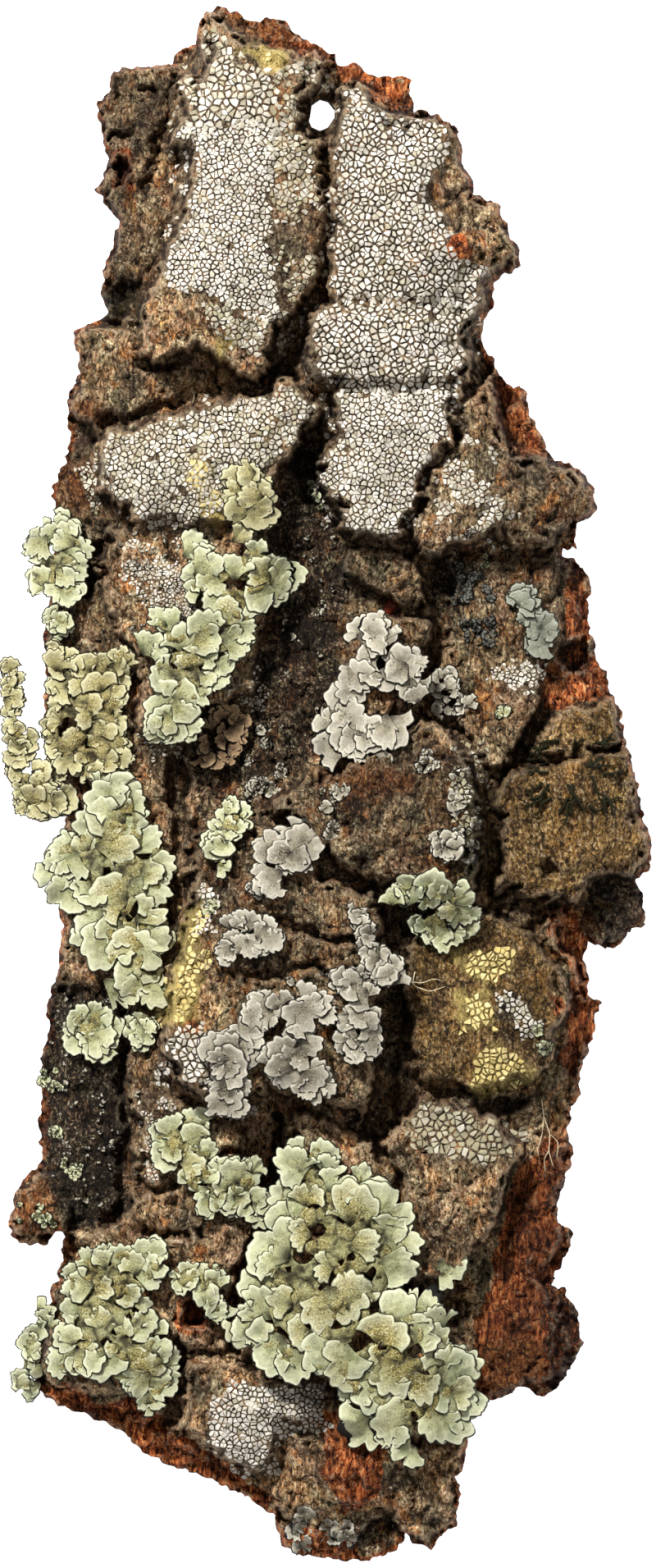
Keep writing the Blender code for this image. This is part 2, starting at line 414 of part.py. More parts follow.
def plan_mesh(loops, step, seed):
    """Points and triangles that fill the first loop and leave the others open."""
    rng = np.random.default_rng(seed)
    outer = loops[0]
    low, high = outer.min(axis=0), outer.max(axis=0)
    columns = np.arange(low[0], high[0], step)
    rows = np.arange(low[1], high[1], step * 0.87)
    grid = np.array([(x + step * 0.5 * (n % 2), y) for n, y in enumerate(rows) for x in columns])
    grid += rng.uniform(-0.22, 0.22, grid.shape) * step
    keep = depth_inside(grid, outer) > step * 0.55
    for hole in loops[1:]:
        keep &= depth_inside(grid, hole) < -step * 0.55
    points = list(map(Vector, grid[keep]))
    edges = []
    for loop in loops:
        first = len(points)
        points += map(Vector, loop)
        edges += [(first + k, first + (k + 1) % len(loop)) for k in range(len(loop))]
    found = delaunay_2d_cdt(points, edges, [], 0, 1e-5)
    plan = np.array([tuple(point) for point in found[0]])
    faces = np.array(found[2])
    middles = plan[faces].mean(axis=1)
    keep = depth_inside(middles, outer) > 0
    for hole in loops[1:]:
        keep &= depth_inside(middles, hole) < 0
    faces = unpinched(faces[keep])
    used = np.unique(faces)
    index = np.full(len(plan), -1)
    index[used] = np.arange(len(used))
    return plan[used], index[faces]


def rim_edges(faces):
    """The directed edges that only one triangle has."""
    ends = np.concatenate([faces[:, [0, 1]], faces[:, [1, 2]], faces[:, [2, 0]]])
    have = set(map(tuple, ends))
    return [edge for edge in map(tuple, ends) if edge[::-1] not in have]


def unpinched(faces):
    """Drops triangles until no corner joins two stretches of rim."""
    while True:
        starts = [a for a, _ in rim_edges(faces)]
        pinched = {a for a in starts if starts.count(a) > 1}
        if not pinched:
            return faces
        faces = faces[~np.isin(faces, list(pinched)).any(axis=1)]


def closed_sheet(name, plan, faces, top, back, rings=(), bulge=()):
    """A closed mesh between two heights over the same plan, with rings round its rim."""
    bm = bmesh.new()
    upper = [bm.verts.new((x, y, z)) for (x, y), z in zip(plan, top)]
    lower = [bm.verts.new((x, y, z)) for (x, y), z in zip(plan, back)]
    for a, b, c in faces:
        bm.faces.new((upper[a], upper[b], upper[c]))
        bm.faces.new((lower[c], lower[b], lower[a]))
    rim = rim_edges(faces)
    after = dict(rim)
    before = {b: a for a, b in rim}
    levels = {}
    for a in after:
        along = plan[after[a]] - plan[before[a]]
        out = np.array([along[1], -along[0]]) / (math.hypot(*along) + 1e-9)
        levels[a] = [lower[a]]
        for number, share in enumerate(rings):
            sway = bulge[a] * (float(grain(plan[a][0], plan[a][1], 4, 41 + number)) - 0.2)
            x, y = plan[a] + out * sway
            z = back[a] + (top[a] - back[a]) * share
            levels[a].append(bm.verts.new((x, y, z)))
        levels[a].append(upper[a])
    for a, b in rim:
        for k in range(len(rings) + 1):
            low_a, high_a = levels[a][k], levels[a][k + 1]
            low_b, high_b = levels[b][k], levels[b][k + 1]
            bm.faces.new((high_b, high_a, low_a, low_b))
    bmesh.ops.triangulate(bm, faces=[face for face in bm.faces if len(face.verts) > 3])
    bmesh.ops.scale(bm, verts=bm.verts, vec=(MM, MM, MM))
    mesh = bpy.data.meshes.new(name)
    bm.to_mesh(mesh)
    bm.free()
    return mesh


def surface_heights(surfaces, nodes):
    """The highest of some meshes under each node of the height map, in mm."""
    found = np.full(len(nodes), -np.inf)
    for mesh in surfaces:
        tree = BVHTree.FromPolygons([v.co for v in mesh.vertices], [p.vertices for p in mesh.polygons])
        corners = np.array([tuple(v.co) for v in mesh.vertices])[:, :2] / MM
        low, high = corners.min(axis=0), corners.max(axis=0)
        near = ((nodes >= low) & (nodes <= high)).all(axis=1)
        for k in np.flatnonzero(near):
            hit = tree.ray_cast(Vector((nodes[k][0] * MM, nodes[k][1] * MM, 1)), Vector((0, 0, -1)))
            if hit[0]:
                found[k] = max(found[k], hit[0].z / MM)
    return found


class HeightMap:
    """The tops of everything made so far, on a square net over the plan."""

    def __init__(self, mesh, step, low, high):
        self.low, self.step = np.array(low), step
        self.size = [int((b - a) / step) + 1 for a, b in zip(low, high)]
        self.nodes = self.low + step * np.stack(
            np.meshgrid(*map(np.arange, self.size), indexing="ij"), axis=-1).reshape(-1, 2)
        self.top = surface_heights([mesh], self.nodes).reshape(self.size)

    def add(self, mesh):
        self.top = np.maximum(self.top, surface_heights([mesh], self.nodes).reshape(self.size))

    def inside(self, corners, margin):
        """The net's nodes in a plan triangle, with a margin round it, and the tops there."""
        first = np.floor((corners.min(axis=0) - self.low) / self.step).astype(int) - 1
        last = np.ceil((corners.max(axis=0) - self.low) / self.step).astype(int) + 2
        first, last = np.maximum(first, 0), np.minimum(last, self.size)
        i, j = np.meshgrid(np.arange(first[0], last[0]), np.arange(first[1], last[1]))
        spots = self.low + self.step * np.stack([i.ravel(), j.ravel()], axis=1)
        near = depth_inside(spots, corners) > -margin
        return spots[near], self.top[i.ravel()[near], j.ravel()[near]]

    def under(self, corners):
        """The highest point under a plan triangle, with a margin of a step round it."""
        tops = self.inside(corners, 1.1 * self.step)[1]
        return float(tops.max()) if len(tops) else -np.inf

    def clearance(self, corners, levels):
        """The least gap between a tilted triangle and the tops under it."""
        spots, tops = self.inside(corners, 0)
        sides = np.stack([corners[1] - corners[0], corners[2] - corners[0]], axis=1)
        shares = np.linalg.solve(sides, (spots - corners[0]).T)
        over = levels[0] + shares[0] * (levels[1] - levels[0]) + shares[1] * (levels[2] - levels[0])
        return float((over - tops).min()) if len(tops) else np.inf


def lobe_relief(plan, size, seed):
    """Height of overlapping rounded lobes that lift towards their tips, in mm."""
    rng = np.random.default_rng(seed)
    middle = plan.mean(axis=0)
    spots = []
    for point in rng.permutation(plan):
        if all(math.hypot(*(point - other)) > size * 1.05 for other in spots):
            spots.append(point)
    relief = np.zeros(len(plan))
    for spot in spots:
        out = spot - middle
        angle = math.atan2(out[1], out[0]) + rng.uniform(-0.7, 0.7)
        aim = np.array([math.cos(angle), math.sin(angle)])
        reach = size * rng.uniform(0.7, 1.0)
        away = plan - spot
        along = away @ aim / reach
        within = np.hypot(*away.T) < reach * (1 + 0.25 * grain(*plan.T, 1.6, seed + 3))
        lift = rng.uniform(0.2, 0.8) + 0.75 * (along + 1) / 2
        relief = np.where(within, np.maximum(relief, lift), relief)
    return relief


def principled(name, colour, rough):
    material = bpy.data.materials.new(name)
    material.use_nodes = True
    shader = material.node_tree.nodes["Principled BSDF"]
    channels = [int(colour[k:k + 2], 16) / 255 for k in (1, 3, 5)]
    linear = [c / 12.92 if c <= 0.04045 else ((c + 0.055) / 1.055) ** 2.4 for c in channels]
    shader.inputs["Base Color"].default_value = (*linear, 1)
    shader.inputs["Roughness"].default_value = rough
    shader.inputs["Metallic"].default_value = 0
    return material


for old in list(bpy.data.objects):
    bpy.data.objects.remove(old, do_unlink=True)
group = bpy.data.collections.new("Cork bark slab")
bpy.context.scene.collection.children.link(group)
slab = bpy.data.objects.new("slab", None)
slab.empty_display_size = 0.02
group.objects.link(slab)

# The bark: one piece, its plates, furrows, pockets and broken edge in a single closed surface.
rim = divided(at(OUTLINE), 2.3, 0.45, SEED)
hole = at(HANGING_HOLE)
plan, faces = plan_mesh([rim, hole], BARK_STEP, SEED)
back = bark_back(plan)
top = np.maximum(bark_top(plan), np.maximum(back, BACK_CLEAR) + LEAST_THICK)
bulge = 0.8 * smooth(-depth_inside(plan, hole) / 4)
mesh = closed_sheet("bark", plan, faces, top, back, RIM_RINGS, bulge)
bark = bpy.data.objects.new("bark", mesh)
group.objects.link(bark)
thin = bark.modifiers.new("Thin", "DECIMATE")
thin.ratio = BARK_FACES / len(mesh.polygons)
thin.use_collapse_triangulate = True
bpy.context.view_layer.update()
graph = bpy.context.evaluated_depsgraph_get()
bark.data = bpy.data.meshes.new_from_object(bark.evaluated_get(graph))
bark.modifiers.clear()
bark.data.name = "bark"
for foot in FEET:
    x, y = at(foot)[0]
    for vertex in bark.data.vertices:
        near = math.hypot(vertex.co.x / MM - x, vertex.co.y / MM - y) < FOOT_FLAT + 1.6
        if near and vertex.co.z < 0.7 * MM:
            vertex.co.z = 0
for vertex in bark.data.vertices:
    vertex.co.z = max(vertex.co.z, 0)
bark.data.materials.append(principled("Cork bark", "#7A6552", 0.95))
bark.parent = slab

# The lichens: each a lobed blade laid over the bark and over those before it.
heights = HeightMap(bark.data, 0.5, (-82, -194), (82, 194))
outer = at(OUTLINE)
for number, (name, (colour, lift, lobe, squares)) in enumerate(LICHENS.items()):
    outline = divided(at(squares), 2.4, 0.55, 60 + number)
    span = np.ptp(outline, axis=0).max()
    plan, faces = plan_mesh([outline], 2.9 if span > 30 else 2.4, 90 + number)
    under = np.full(len(plan), -np.inf)
    for face in faces:
        highest = heights.under(plan[face])
        under[face] = np.maximum(under[face], highest)
    nearest = np.array([np.argmin(np.hypot(*(outer - point).T)) for point in plan])
    off = ~np.isfinite(under)
    if off.any():
        seat = under[~off].min() if (~off).any() else 10.0
        away = np.hypot(*(plan[off] - outer[nearest[off]]).T)
        under[off] = seat - 0.25 * away + 0.5 * grain(*plan[off].T, 6, 7)
    ends = np.concatenate([faces[:, [0, 1]], faces[:, [1, 2]], faces[:, [2, 0]]])
    drop = STEEPEST * np.hypot(*(plan[ends[:, 0]] - plan[ends[:, 1]]).T)
    for _ in range(40):
        np.maximum.at(under, ends[:, 0], under[ends[:, 1]] - drop)
        np.maximum.at(under, ends[:, 1], under[ends[:, 0]] - drop)
    to_edge = depth_inside(plan, outline)
    tip = 1 - smooth(to_edge / 4.5)
    wave = 0.5 + 0.5 * grain(*plan.T, 5.5, 120 + number)
    under = np.maximum(under, 1.2) + SEAT + lift * tip * wave
    spare = min(heights.clearance(plan[face], under[face]) for face in faces)
    under -= max(0.0, min(spare - SETTLE, 1.5))
    relief = lobe_relief(plan, lobe, 150 + number)
    blade = closed_sheet(name, plan, faces, under + BLADE + relief * (1 - 0.55 * tip), under)
    lichen = bpy.data.objects.new(name, blade)
    blade.materials.append(principled(name.replace("_", " "), colour, 0.85))
    group.objects.link(lichen)
    lichen.parent = slab
    heights.add(blade)

for obj in group.objects:
    if obj.type == "MESH":
        for polygon in obj.data.polygons:
            polygon.use_smooth = False
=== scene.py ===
import math

import bpy
import numpy as np
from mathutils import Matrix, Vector
from mathutils.bvhtree import BVHTree
from mathutils.geometry import delaunay_2d_cdt


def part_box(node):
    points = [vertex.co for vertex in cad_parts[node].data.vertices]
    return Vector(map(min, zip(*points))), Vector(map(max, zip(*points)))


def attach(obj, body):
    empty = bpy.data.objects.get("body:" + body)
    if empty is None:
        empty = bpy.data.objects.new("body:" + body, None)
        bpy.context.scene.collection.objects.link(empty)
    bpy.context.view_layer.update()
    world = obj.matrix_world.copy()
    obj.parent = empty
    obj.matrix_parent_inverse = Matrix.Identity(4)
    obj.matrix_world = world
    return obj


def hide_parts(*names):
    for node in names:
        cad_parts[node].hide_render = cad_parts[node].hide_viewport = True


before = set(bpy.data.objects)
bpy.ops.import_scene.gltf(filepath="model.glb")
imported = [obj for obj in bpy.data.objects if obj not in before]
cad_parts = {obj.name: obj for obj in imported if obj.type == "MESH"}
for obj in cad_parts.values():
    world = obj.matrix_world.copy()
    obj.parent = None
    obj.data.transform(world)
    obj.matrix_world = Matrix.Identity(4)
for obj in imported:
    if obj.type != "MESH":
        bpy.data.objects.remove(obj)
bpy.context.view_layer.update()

# The photograph's table and light. The slab lies back down on a bright white sheet, seen from
# straight above through a long lens, with a soft lamp beyond its top end, a little to the left,
# and pale walls all round that fill the furrows.
MM = 0.001
SQUARE = 0.2  # side of one square of the plan grid, in mm
MIDDLE = (399.0, 955.0)  # grid square over the origin
PICTURE = (800, 1911)  # the picture's sides in grid squares
SIGHT_HEIGHT = 24  # height at which a grid square shows as one pixel, in mm
CAMERA_AWAY = 3.2
SENSOR = 36.0


def linear(colour):
    """An sRGB hex value as linear red, green, blue and alpha."""
    channels = [int(colour[k:k + 2], 16) / 255 for k in (1, 3, 5)]
    return (*[c / 12.92 if c <= 0.04045 else ((c + 0.055) / 1.055) ** 2.4 for c in channels], 1)


def link_into_scene(name, data):
    made = bpy.data.objects.new(name, data)
    bpy.context.scene.collection.objects.link(made)
    return made


lens = bpy.data.cameras.new("camera")
lens.sensor_width = SENSOR
lens.lens = SENSOR * (CAMERA_AWAY - SIGHT_HEIGHT * MM) / (PICTURE[1] * SQUARE * MM)
lens.clip_end = 50
camera = link_into_scene("camera", lens)
camera.location = ((PICTURE[0] / 2 - MIDDLE[0]) * SQUARE * MM,
                   (MIDDLE[1] - PICTURE[1] / 2) * SQUARE * MM, CAMERA_AWAY)
bpy.context.scene.camera = camera

bpy.ops.mesh.primitive_plane_add(size=30, location=(0, 0, -0.0004))
floor = bpy.context.object
floor.name = "white_sheet"
paper = bpy.data.materials.new("white paper")
paper.use_nodes = True
sheet = paper.node_tree.nodes["Principled BSDF"]
sheet.inputs["Base Color"].default_value = linear("#FAFAFA")
sheet.inputs["Roughness"].default_value = 0.9
sheet.inputs["Emission Color"].default_value = linear("#FFFFFF")
sheet.inputs["Emission Strength"].default_value = 1.1
floor.data.materials.append(paper)

world = bpy.data.worlds.new("pale walls")
bpy.context.scene.world = world
world.use_nodes = True
walls = world.node_tree.nodes["Background"]
walls.inputs["Color"].default_value = linear("#FBFCFF")
walls.inputs["Strength"].default_value = 0.36

for name, place, side, power in (("key_lamp", (-0.62, 1.22, 1.5), 0.3, 80),
                                 ("fill_lamp", (1.4, -0.6, 1.6), 1.6, 7)):
    lamp = bpy.data.lights.new(name, "AREA")
    lamp.shape = "DISK"
    lamp.size = side
    lamp.energy = power
    holder = link_into_scene(name, lamp)
    holder.location = place
    holder.rotation_euler = (-Vector(place)).to_track_quat("-Z", "Y").to_euler()
bpy.context.scene.view_settings.view_transform = "Standard"

# The slab of cork bark: the grey, weathered outer bark in raised plates, with orange cork where
# it has broken, furrows darkened with painted shade, and a broken rim. Its plates, furrows and rim
# follow the CAD solid, and the fibres, cracks and ledges are raised on a finer mesh.
OUTLINE = [
    (265, 2), (281, 10), (303, 21), (333, 18), (349, 24), (367, 41), (392, 55), (406, 64),
    (412, 74), (431, 74), (451, 86), (477, 91), (500, 94), (499, 109), (504, 136), (533, 136),
    (544, 149), (560, 156), (565, 178), (571, 205), (576, 236), (585, 238), (609, 246), (618, 272),
    (631, 295), (636, 320), (618, 330), (605, 342), (597, 374), (591, 392), (588, 412), (597, 430),
    (606, 446), (619, 465), (641, 471), (646, 502), (658, 524), (665, 543), (678, 560), (714, 575),
    (723, 592), (729, 619), (712, 630), (703, 638), (705, 668), (690, 668), (688, 676), (712, 684),
    (718, 708), (721, 768), (728, 799), (738, 819), (746, 844), (760, 866), (758, 878), (771, 922),
    (779, 963), (788, 1004), (796, 1042), (796, 1055), (781, 1073), (787, 1106), (790, 1129),
    (765, 1134), (761, 1150), (740, 1160), (720, 1151), (714, 1170), (719, 1196), (717, 1213),
    (736, 1224), (728, 1236), (720, 1275), (713, 1295), (708, 1331), (696, 1354), (691, 1377),
    (699, 1408), (694, 1436), (678, 1465), (681, 1494), (699, 1508), (692, 1534), (679, 1552),
    (671, 1574), (690, 1574), (705, 1603), (713, 1644), (700, 1670), (678, 1698), (659, 1707),
    (641, 1693), (605, 1709), (575, 1712), (567, 1720), (575, 1754), (565, 1795), (554, 1802),
    (563, 1826), (555, 1868), (541, 1873), (526, 1893), (505, 1885), (495, 1873), (483, 1893),
    (447, 1908), (400, 1903), (369, 1902), (346, 1887), (329, 1846), (305, 1830), (274, 1817),
    (238, 1799), (182, 1780), (163, 1762), (144, 1744), (103, 1730), (54, 1708), (38, 1690),
    (42, 1645), (62, 1580), (74, 1539), (76, 1502), (51, 1518), (31, 1521), (12, 1507), (10, 1480),
    (21, 1449), (49, 1418), (46, 1383), (51, 1344), (49, 1306), (59, 1262), (56, 1234), (63, 1200),
    (76, 1150), (72, 1105), (68, 1070), (76, 1025), (85, 985), (64, 945), (55, 905), (52, 870),
    (57, 830), (50, 778), (60, 720), (66, 640), (63, 592), (79, 558), (82, 510), (77, 484),
    (91, 464), (94, 432), (87, 402), (123, 388), (130, 378), (120, 353), (127, 324), (136, 292),
    (140, 267), (127, 244), (113, 226), (124, 212), (130, 188), (124, 163), (114, 130), (131, 108),
    (138, 83), (183, 76), (208, 73), (222, 55), (238, 50), (238, 36), (252, 11),
]
HANGING_HOLE = [
    (390, 117), (400, 120), (408, 130), (408, 143), (400, 154), (390, 158), (380, 154), (376, 145),
    (378, 138), (380, 124),
]
PLATE_STEP, CLIFF_STEP, BACK_STEP, RIM_STEP = 1.0, 0.62, 3.0, 0.7  # spacing of points, in mm
NET, BACK_NET, NET_MARGIN = 0.45, 2.0, 2  # spacing and margin of the nets that read the solid, in mm
NET_SPREAD = 8  # squares that a net spreads past the surface's edge
CLIFF_REACHES, CLIFF_PULL = (0.9, 1.35), 0.7  # how far each way a cliff draws in, in mm, and how strongly
UNDER_LICHEN = 0.2  # how far bark may stand into the gap under a lichen's blade, in mm
NO_LICHEN = 99.0  # height of a blade where no lichen grows, above all bark, in mm
CLIFF_SLOPE = 1.5  # rise of the bark, in mm for each mm, from which its mesh is finer
RIM_RINGS = (0.12, 0.32, 0.52, 0.72, 0.9)  # rings round the broken rim, as shares of its height


def grain(x, y, size, seed):
    """Smooth noise between -1 and 1 whose bumps are about size wide."""
    table = np.random.default_rng(seed).uniform(-1, 1, (197, 189))
    x, y = x / size + 31.7, y / size + 57.3
    i, j = np.floor(x).astype(int), np.floor(y).astype(int)
    s, t = x - i, y - j
    s, t = s * s * (3 - 2 * s), t * t * (3 - 2 * t)
    low = table[i % 197, j % 189] * (1 - s) + table[(i + 1) % 197, j % 189] * s
    high = table[i % 197, (j + 1) % 189] * (1 - s) + table[(i + 1) % 197, (j + 1) % 189] * s
    return low * (1 - t) + high * t


def smooth(value):
    """A value between 0 and 1 that leaves 0 and reaches 1 gently."""
    value = np.clip(value, 0, 1)
    return value * value * (3 - 2 * value)


def at(squares):
    """Plan millimetres of grid squares."""
    return (np.asarray(squares, float).reshape(-1, 2) - MIDDLE) * (SQUARE, -SQUARE)


def depth_inside(points, outline):
    """How far each point lies inside a closed outline, below zero outside."""
    x, y = points.T
    inside = np.zeros(len(points), bool)
    nearest = np.full(len(points), np.inf)
    for (ax, ay), (bx, by) in zip(outline, np.roll(outline, -1, axis=0)):
        dx, dy = bx - ax, by - ay
        share = np.clip(((x - ax) * dx + (y - ay) * dy) / (dx * dx + dy * dy + 1e-12), 0, 1)
        nearest = np.minimum(nearest, (x - ax - share * dx) ** 2 + (y - ay - share * dy) ** 2)
        if ay != by:
            inside ^= ((ay > y) != (by > y)) & (x < ax + (y - ay) * dx / dy)
    nearest = np.sqrt(nearest)
    return np.where(inside, nearest, -nearest)


def tree_of(obj):
    """An object's surface, for rays to be cast at."""
    corners = [vertex.co for vertex in obj.data.vertices]
    return BVHTree.FromPolygons(corners, [face.vertices for face in obj.data.polygons])


def heights_at(tree, spots, start=1.0, way=-1):
    """Where rays along Z meet a surface over plan points, in mm, with NaN where they miss."""
    found = np.full(len(spots), np.nan)
    aim = Vector((0, 0, way))
    for k, (x, y) in enumerate(spots * MM):
        hit = tree.ray_cast(Vector((x, y, start)), aim)[0]
        if hit is not None:
            found[k] = hit.z / MM
    return found


class Net:
    """Heights on a square net over the plan, read by interpolation."""

    def __init__(self, low, step, values):
        self.low, self.step, self.values = low, step, values

    def blurred(self, reach):
        """The values' mean over a square that reaches that many millimetres each way."""
        cells = int(round(reach / self.step))
        total = np.pad(self.values, cells + 1, mode="edge")
        for axis in (0, 1):
            total = np.cumsum(total, axis=axis)
            total = (np.roll(total, -cells, axis) - np.roll(total, cells + 1, axis)) / (2 * cells + 1)
        return total[cells + 1:-cells - 1, cells + 1:-cells - 1]

    def extreme(self, reach, pick):
        """The highest or lowest value within a square that reaches that far each way."""
        cells = int(round(reach / self.step))
        found = self.values
        for axis in (0, 1):
            found = pick([np.roll(found, shift, axis) for shift in range(-cells, cells + 1)], axis=0)
        return found

    def read(self, points, values=None):
        """Heights over plan points, from the net's own values or from others on the same net."""
        values = self.values if values is None else values
        spot = (points - self.low) / self.step
        spot = np.clip(spot, 0, np.array(values.shape) - 1.001)
        cell = np.floor(spot).astype(int)
        (i, j), (s, t) = cell.T, (spot - cell).T
        low = values[i, j] * (1 - s) + values[i + 1, j] * s
        high = values[i, j + 1] * (1 - s) + values[i + 1, j + 1] * s
        return low * (1 - t) + high * t


def net_over(tree, low, high, step, start=1.0, way=-1):
    """A net of a surface's heights. Empty squares near the surface take their neighbours' mean."""
    size = [int((b - a) / step) + 2 for a, b in zip(low, high)]
    spots = low + step * np.stack(np.meshgrid(*map(np.arange, size), indexing="ij"), axis=-1).reshape(-1, 2)
    values = heights_at(tree, spots, start, way).reshape(size)
    for _ in range(NET_SPREAD):
        padded = np.pad(values, 1, constant_values=np.nan)
        around = [padded[1 + i:padded.shape[0] - 1 + i, 1 + j:padded.shape[1] - 1 + j]
                  for i in (-1, 0, 1) for j in (-1, 0, 1) if i or j]
        full = [np.isfinite(near) for near in around]
        total = sum(np.where(mask, near, 0) for mask, near in zip(full, around))
        count = sum(full)
        values = np.where(~np.isfinite(values) & (count > 0), total / np.maximum(count, 1), values)
    return Net(low, step, np.nan_to_num(values, nan=np.nanmin(values)))


bark_tree = tree_of(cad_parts["bark"])
low, high = [np.array(corner)[:2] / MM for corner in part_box("bark")]
tops = net_over(bark_tree, low - NET_MARGIN, high + NET_MARGIN, NET)
backs = net_over(bark_tree, low - NET_MARGIN, high + NET_MARGIN, BACK_NET, -1.0, 1)
for reach in CLIFF_REACHES:
    # Cork breaks off in plates with sharp edges, so each slope is drawn in to a short cliff.
    above, below = tops.extreme(reach, np.max), tops.extreme(reach, np.min)
    pull = np.clip((tops.values - (above + below) / 2) / 0.8, -1, 1)
    cliff = (above + below) / 2 + pull * (above - below) / 2
    tops.values = tops.values + CLIFF_PULL * (cliff - tops.values)
under_leaves = Net(tops.low, NET, np.full(tops.values.shape, NO_LICHEN))
for name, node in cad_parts.items():
    if name == "bark":
        continue
    first, last = [((np.array(corner)[:2] / MM - tops.low) / NET).astype(int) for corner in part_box(name)]
    first, last = np.maximum(first, 0), np.minimum(last + 2, tops.values.shape)
    index = np.stack(np.meshgrid(*map(np.arange, first, last), indexing="ij"), axis=-1)
    found = heights_at(tree_of(node), tops.low + NET * index.reshape(-1, 2), -1.0, 1)
    part = under_leaves.values[first[0]:last[0], first[1]:last[1]]
    part[:] = np.fmin(part, found.reshape(part.shape))


def zone(points, outlines, soft, ragged, seed):
    """1 inside any of some grid outlines and 0 outside, with a ragged, soft edge."""
    inside = np.full(len(points), -1e9)
    for outline in outlines:
        inside = np.maximum(inside, depth_inside(points, at(outline)))
    x, y = points.T
    sway = ragged * (0.6 * grain(x, y, 5, seed) + 0.4 * grain(x, y, 1.8, seed + 1))
    return smooth((inside + sway) / soft + 0.5)


VALLEY = [[(325, 640), (380, 500), (400, 640), (430, 700), (400, 900), (370, 940), (240, 970),
           (230, 900), (300, 860), (325, 760)]]


def broken(x, y, size, seed):
    """Irregular cells about size wide: the distance to a cell's border, and its own number."""
    jitter = np.random.default_rng(seed).uniform(0.04, 0.96, (3, 197, 189))
    x, y = x / size + 31.7, y / size + 57.3
    i, j = np.floor(x).astype(int), np.floor(y).astype(int)
    first, second = np.full(x.shape, 9.0), np.full(x.shape, 9.0)
    own = np.zeros(x.shape)
    for di in (-1, 0, 1):
        for dj in (-1, 0, 1):
            k, m = (i + di) % 197, (j + dj) % 189
            away = np.hypot(i + di + jitter[0, k, m] - x, j + dj + jitter[1, k, m] - y)
            own = np.where(away < first, jitter[2, k, m], own)
            second = np.minimum(second, np.maximum(first, away))
            first = np.minimum(first, away)
    return (second - first) * size / 2, own


def bark_height(points):
    """Height of the bark's outer face at plan points, in mm, with its fibres and cracks.

    The factor before each grain is its height and the third value its size, both in mm.
    """
    x, y = points.T
    sway = np.stack([grain(x, y, 1.7, 1), grain(x, y, 1.7, 2)], axis=1)
    sway += 0.5 * np.stack([grain(x, y, 0.8, 3), grain(x, y, 0.8, 4)], axis=1)
    stray = np.stack([grain(x, y, 5.5, 16), grain(x, y, 5.5, 17)], axis=1)
    height = tops.read(points + 0.45 * sway + 1.1 * stray)
    steep = smooth((tops.read(points, slopes) - 0.9) / 1.6)
    rough = (1 - 0.72 * crust_cover(points)) * (0.4 + 0.6 * (1 - steep))
    rough *= 1 - 0.6 * zone(points, OLIVE_BARK, 4.0, 3.0, 41)
    bent = (x + 1.6 * grain(x, y, 4.5, 18) + 0.5 * sway[:, 0],
            y + 1.6 * grain(x, y, 4.5, 19) + 0.5 * sway[:, 1])
    border, block = broken(bent[0], bent[1] * 0.6, 6.0, 20)
    blocks = 1.3 * (block - 0.5) * smooth(border / 0.5) - 1.5 * (1 - smooth(border / 0.5))
    border, chip = broken(bent[0] * 0.8, bent[1], 2.6, 21)
    chips = 0.75 * (chip - 0.5) - 0.6 * (1 - smooth(border / 0.3))
    level = 2.3 * grain(x, y * 0.8, 8, 22) + 0.9 * grain(x, y, 3.2, 23) + 0.35 * sway[:, 0]
    step = level - np.floor(level)
    layers = 1.2 * (smooth((step - 0.82) / 0.18) - step)
    fibres = 0.36 * grain(x, y * 0.24, 1.15, 5) + 0.22 * grain(x, y * 0.3, 0.8, 6)
    lumps = 0.4 * grain(x, y, 3.1, 7) + 0.35 * grain(x, y, 1.5, 8)
    cork_layers = 0.7 * np.sin(height * 2 * math.pi / 2.1 + 2 * grain(x, y, 6, 13)) * steep
    ledges = np.abs(grain(x * 0.35, y, 2.6, 14)) * 2.2 - 0.8
    valley = zone(points, VALLEY, 3, 2, 15)
    height = height + rough * (blocks + chips + layers + fibres + lumps) + cork_layers
    return np.minimum(height + ledges * valley, under_leaves.read(points) + UNDER_LICHEN)


def divided(outline, step, sway, seed):
    """A closed outline with a point about every step, swaying in and out."""
    made = []
    for a, b in zip(outline, np.roll(outline, -1, axis=0)):
        count = max(1, round(math.hypot(*(b - a)) / step))
        made += [a + (b - a) * k / count for k in range(count)]
    made = np.array(made)
    along = np.roll(made, -2, axis=0) - np.roll(made, 2, axis=0)
    across = np.stack([along[:, 1], -along[:, 0]], axis=1)
    across /= np.hypot(*across.T)[:, None] + 1e-9
    in_out = 0.8 * grain(*made.T, 2.8, seed) + 0.8 * grain(*made.T, 1.2, seed + 1)
    return made + across * (sway * in_out)[:, None]


def hex_points(low, high, step, rng):
    """Points in staggered rows about a step apart, each moved a little at random."""
    columns = np.arange(low[0], high[0], step)
    rows = np.arange(low[1], high[1], step * 0.87)
    x, y = np.meshgrid(columns, rows)
    x = x + step * 0.5 * (np.arange(len(rows)) % 2)[:, None]
    spots = np.stack([x.ravel(), y.ravel()], axis=1)
    return spots + rng.uniform(-0.24, 0.24, spots.shape) * step


def filled(inner, loops):
    """Points and triangles of a plan with loose inner points, one outer loop and its holes."""
    points = list(map(Vector, inner))
    edges = []
    for loop in loops:
        first = len(points)
        points += map(Vector, loop)
        edges += [(first + k, first + (k + 1) % len(loop)) for k in range(len(loop))]
    found = delaunay_2d_cdt(points, edges, [], 0, 1e-6)
    plan, faces = np.array([tuple(point) for point in found[0]]), np.array(found[2])
    middles = plan[faces].mean(axis=1)
    keep = depth_inside(middles, loops[0]) > 0
    for hole in loops[1:]:
        keep &= depth_inside(middles, hole) < 0
    faces = faces[keep]
    used = np.unique(faces)
    index = np.full(len(plan), -1)
    index[used] = np.arange(len(used))
    return plan[used], index[faces]


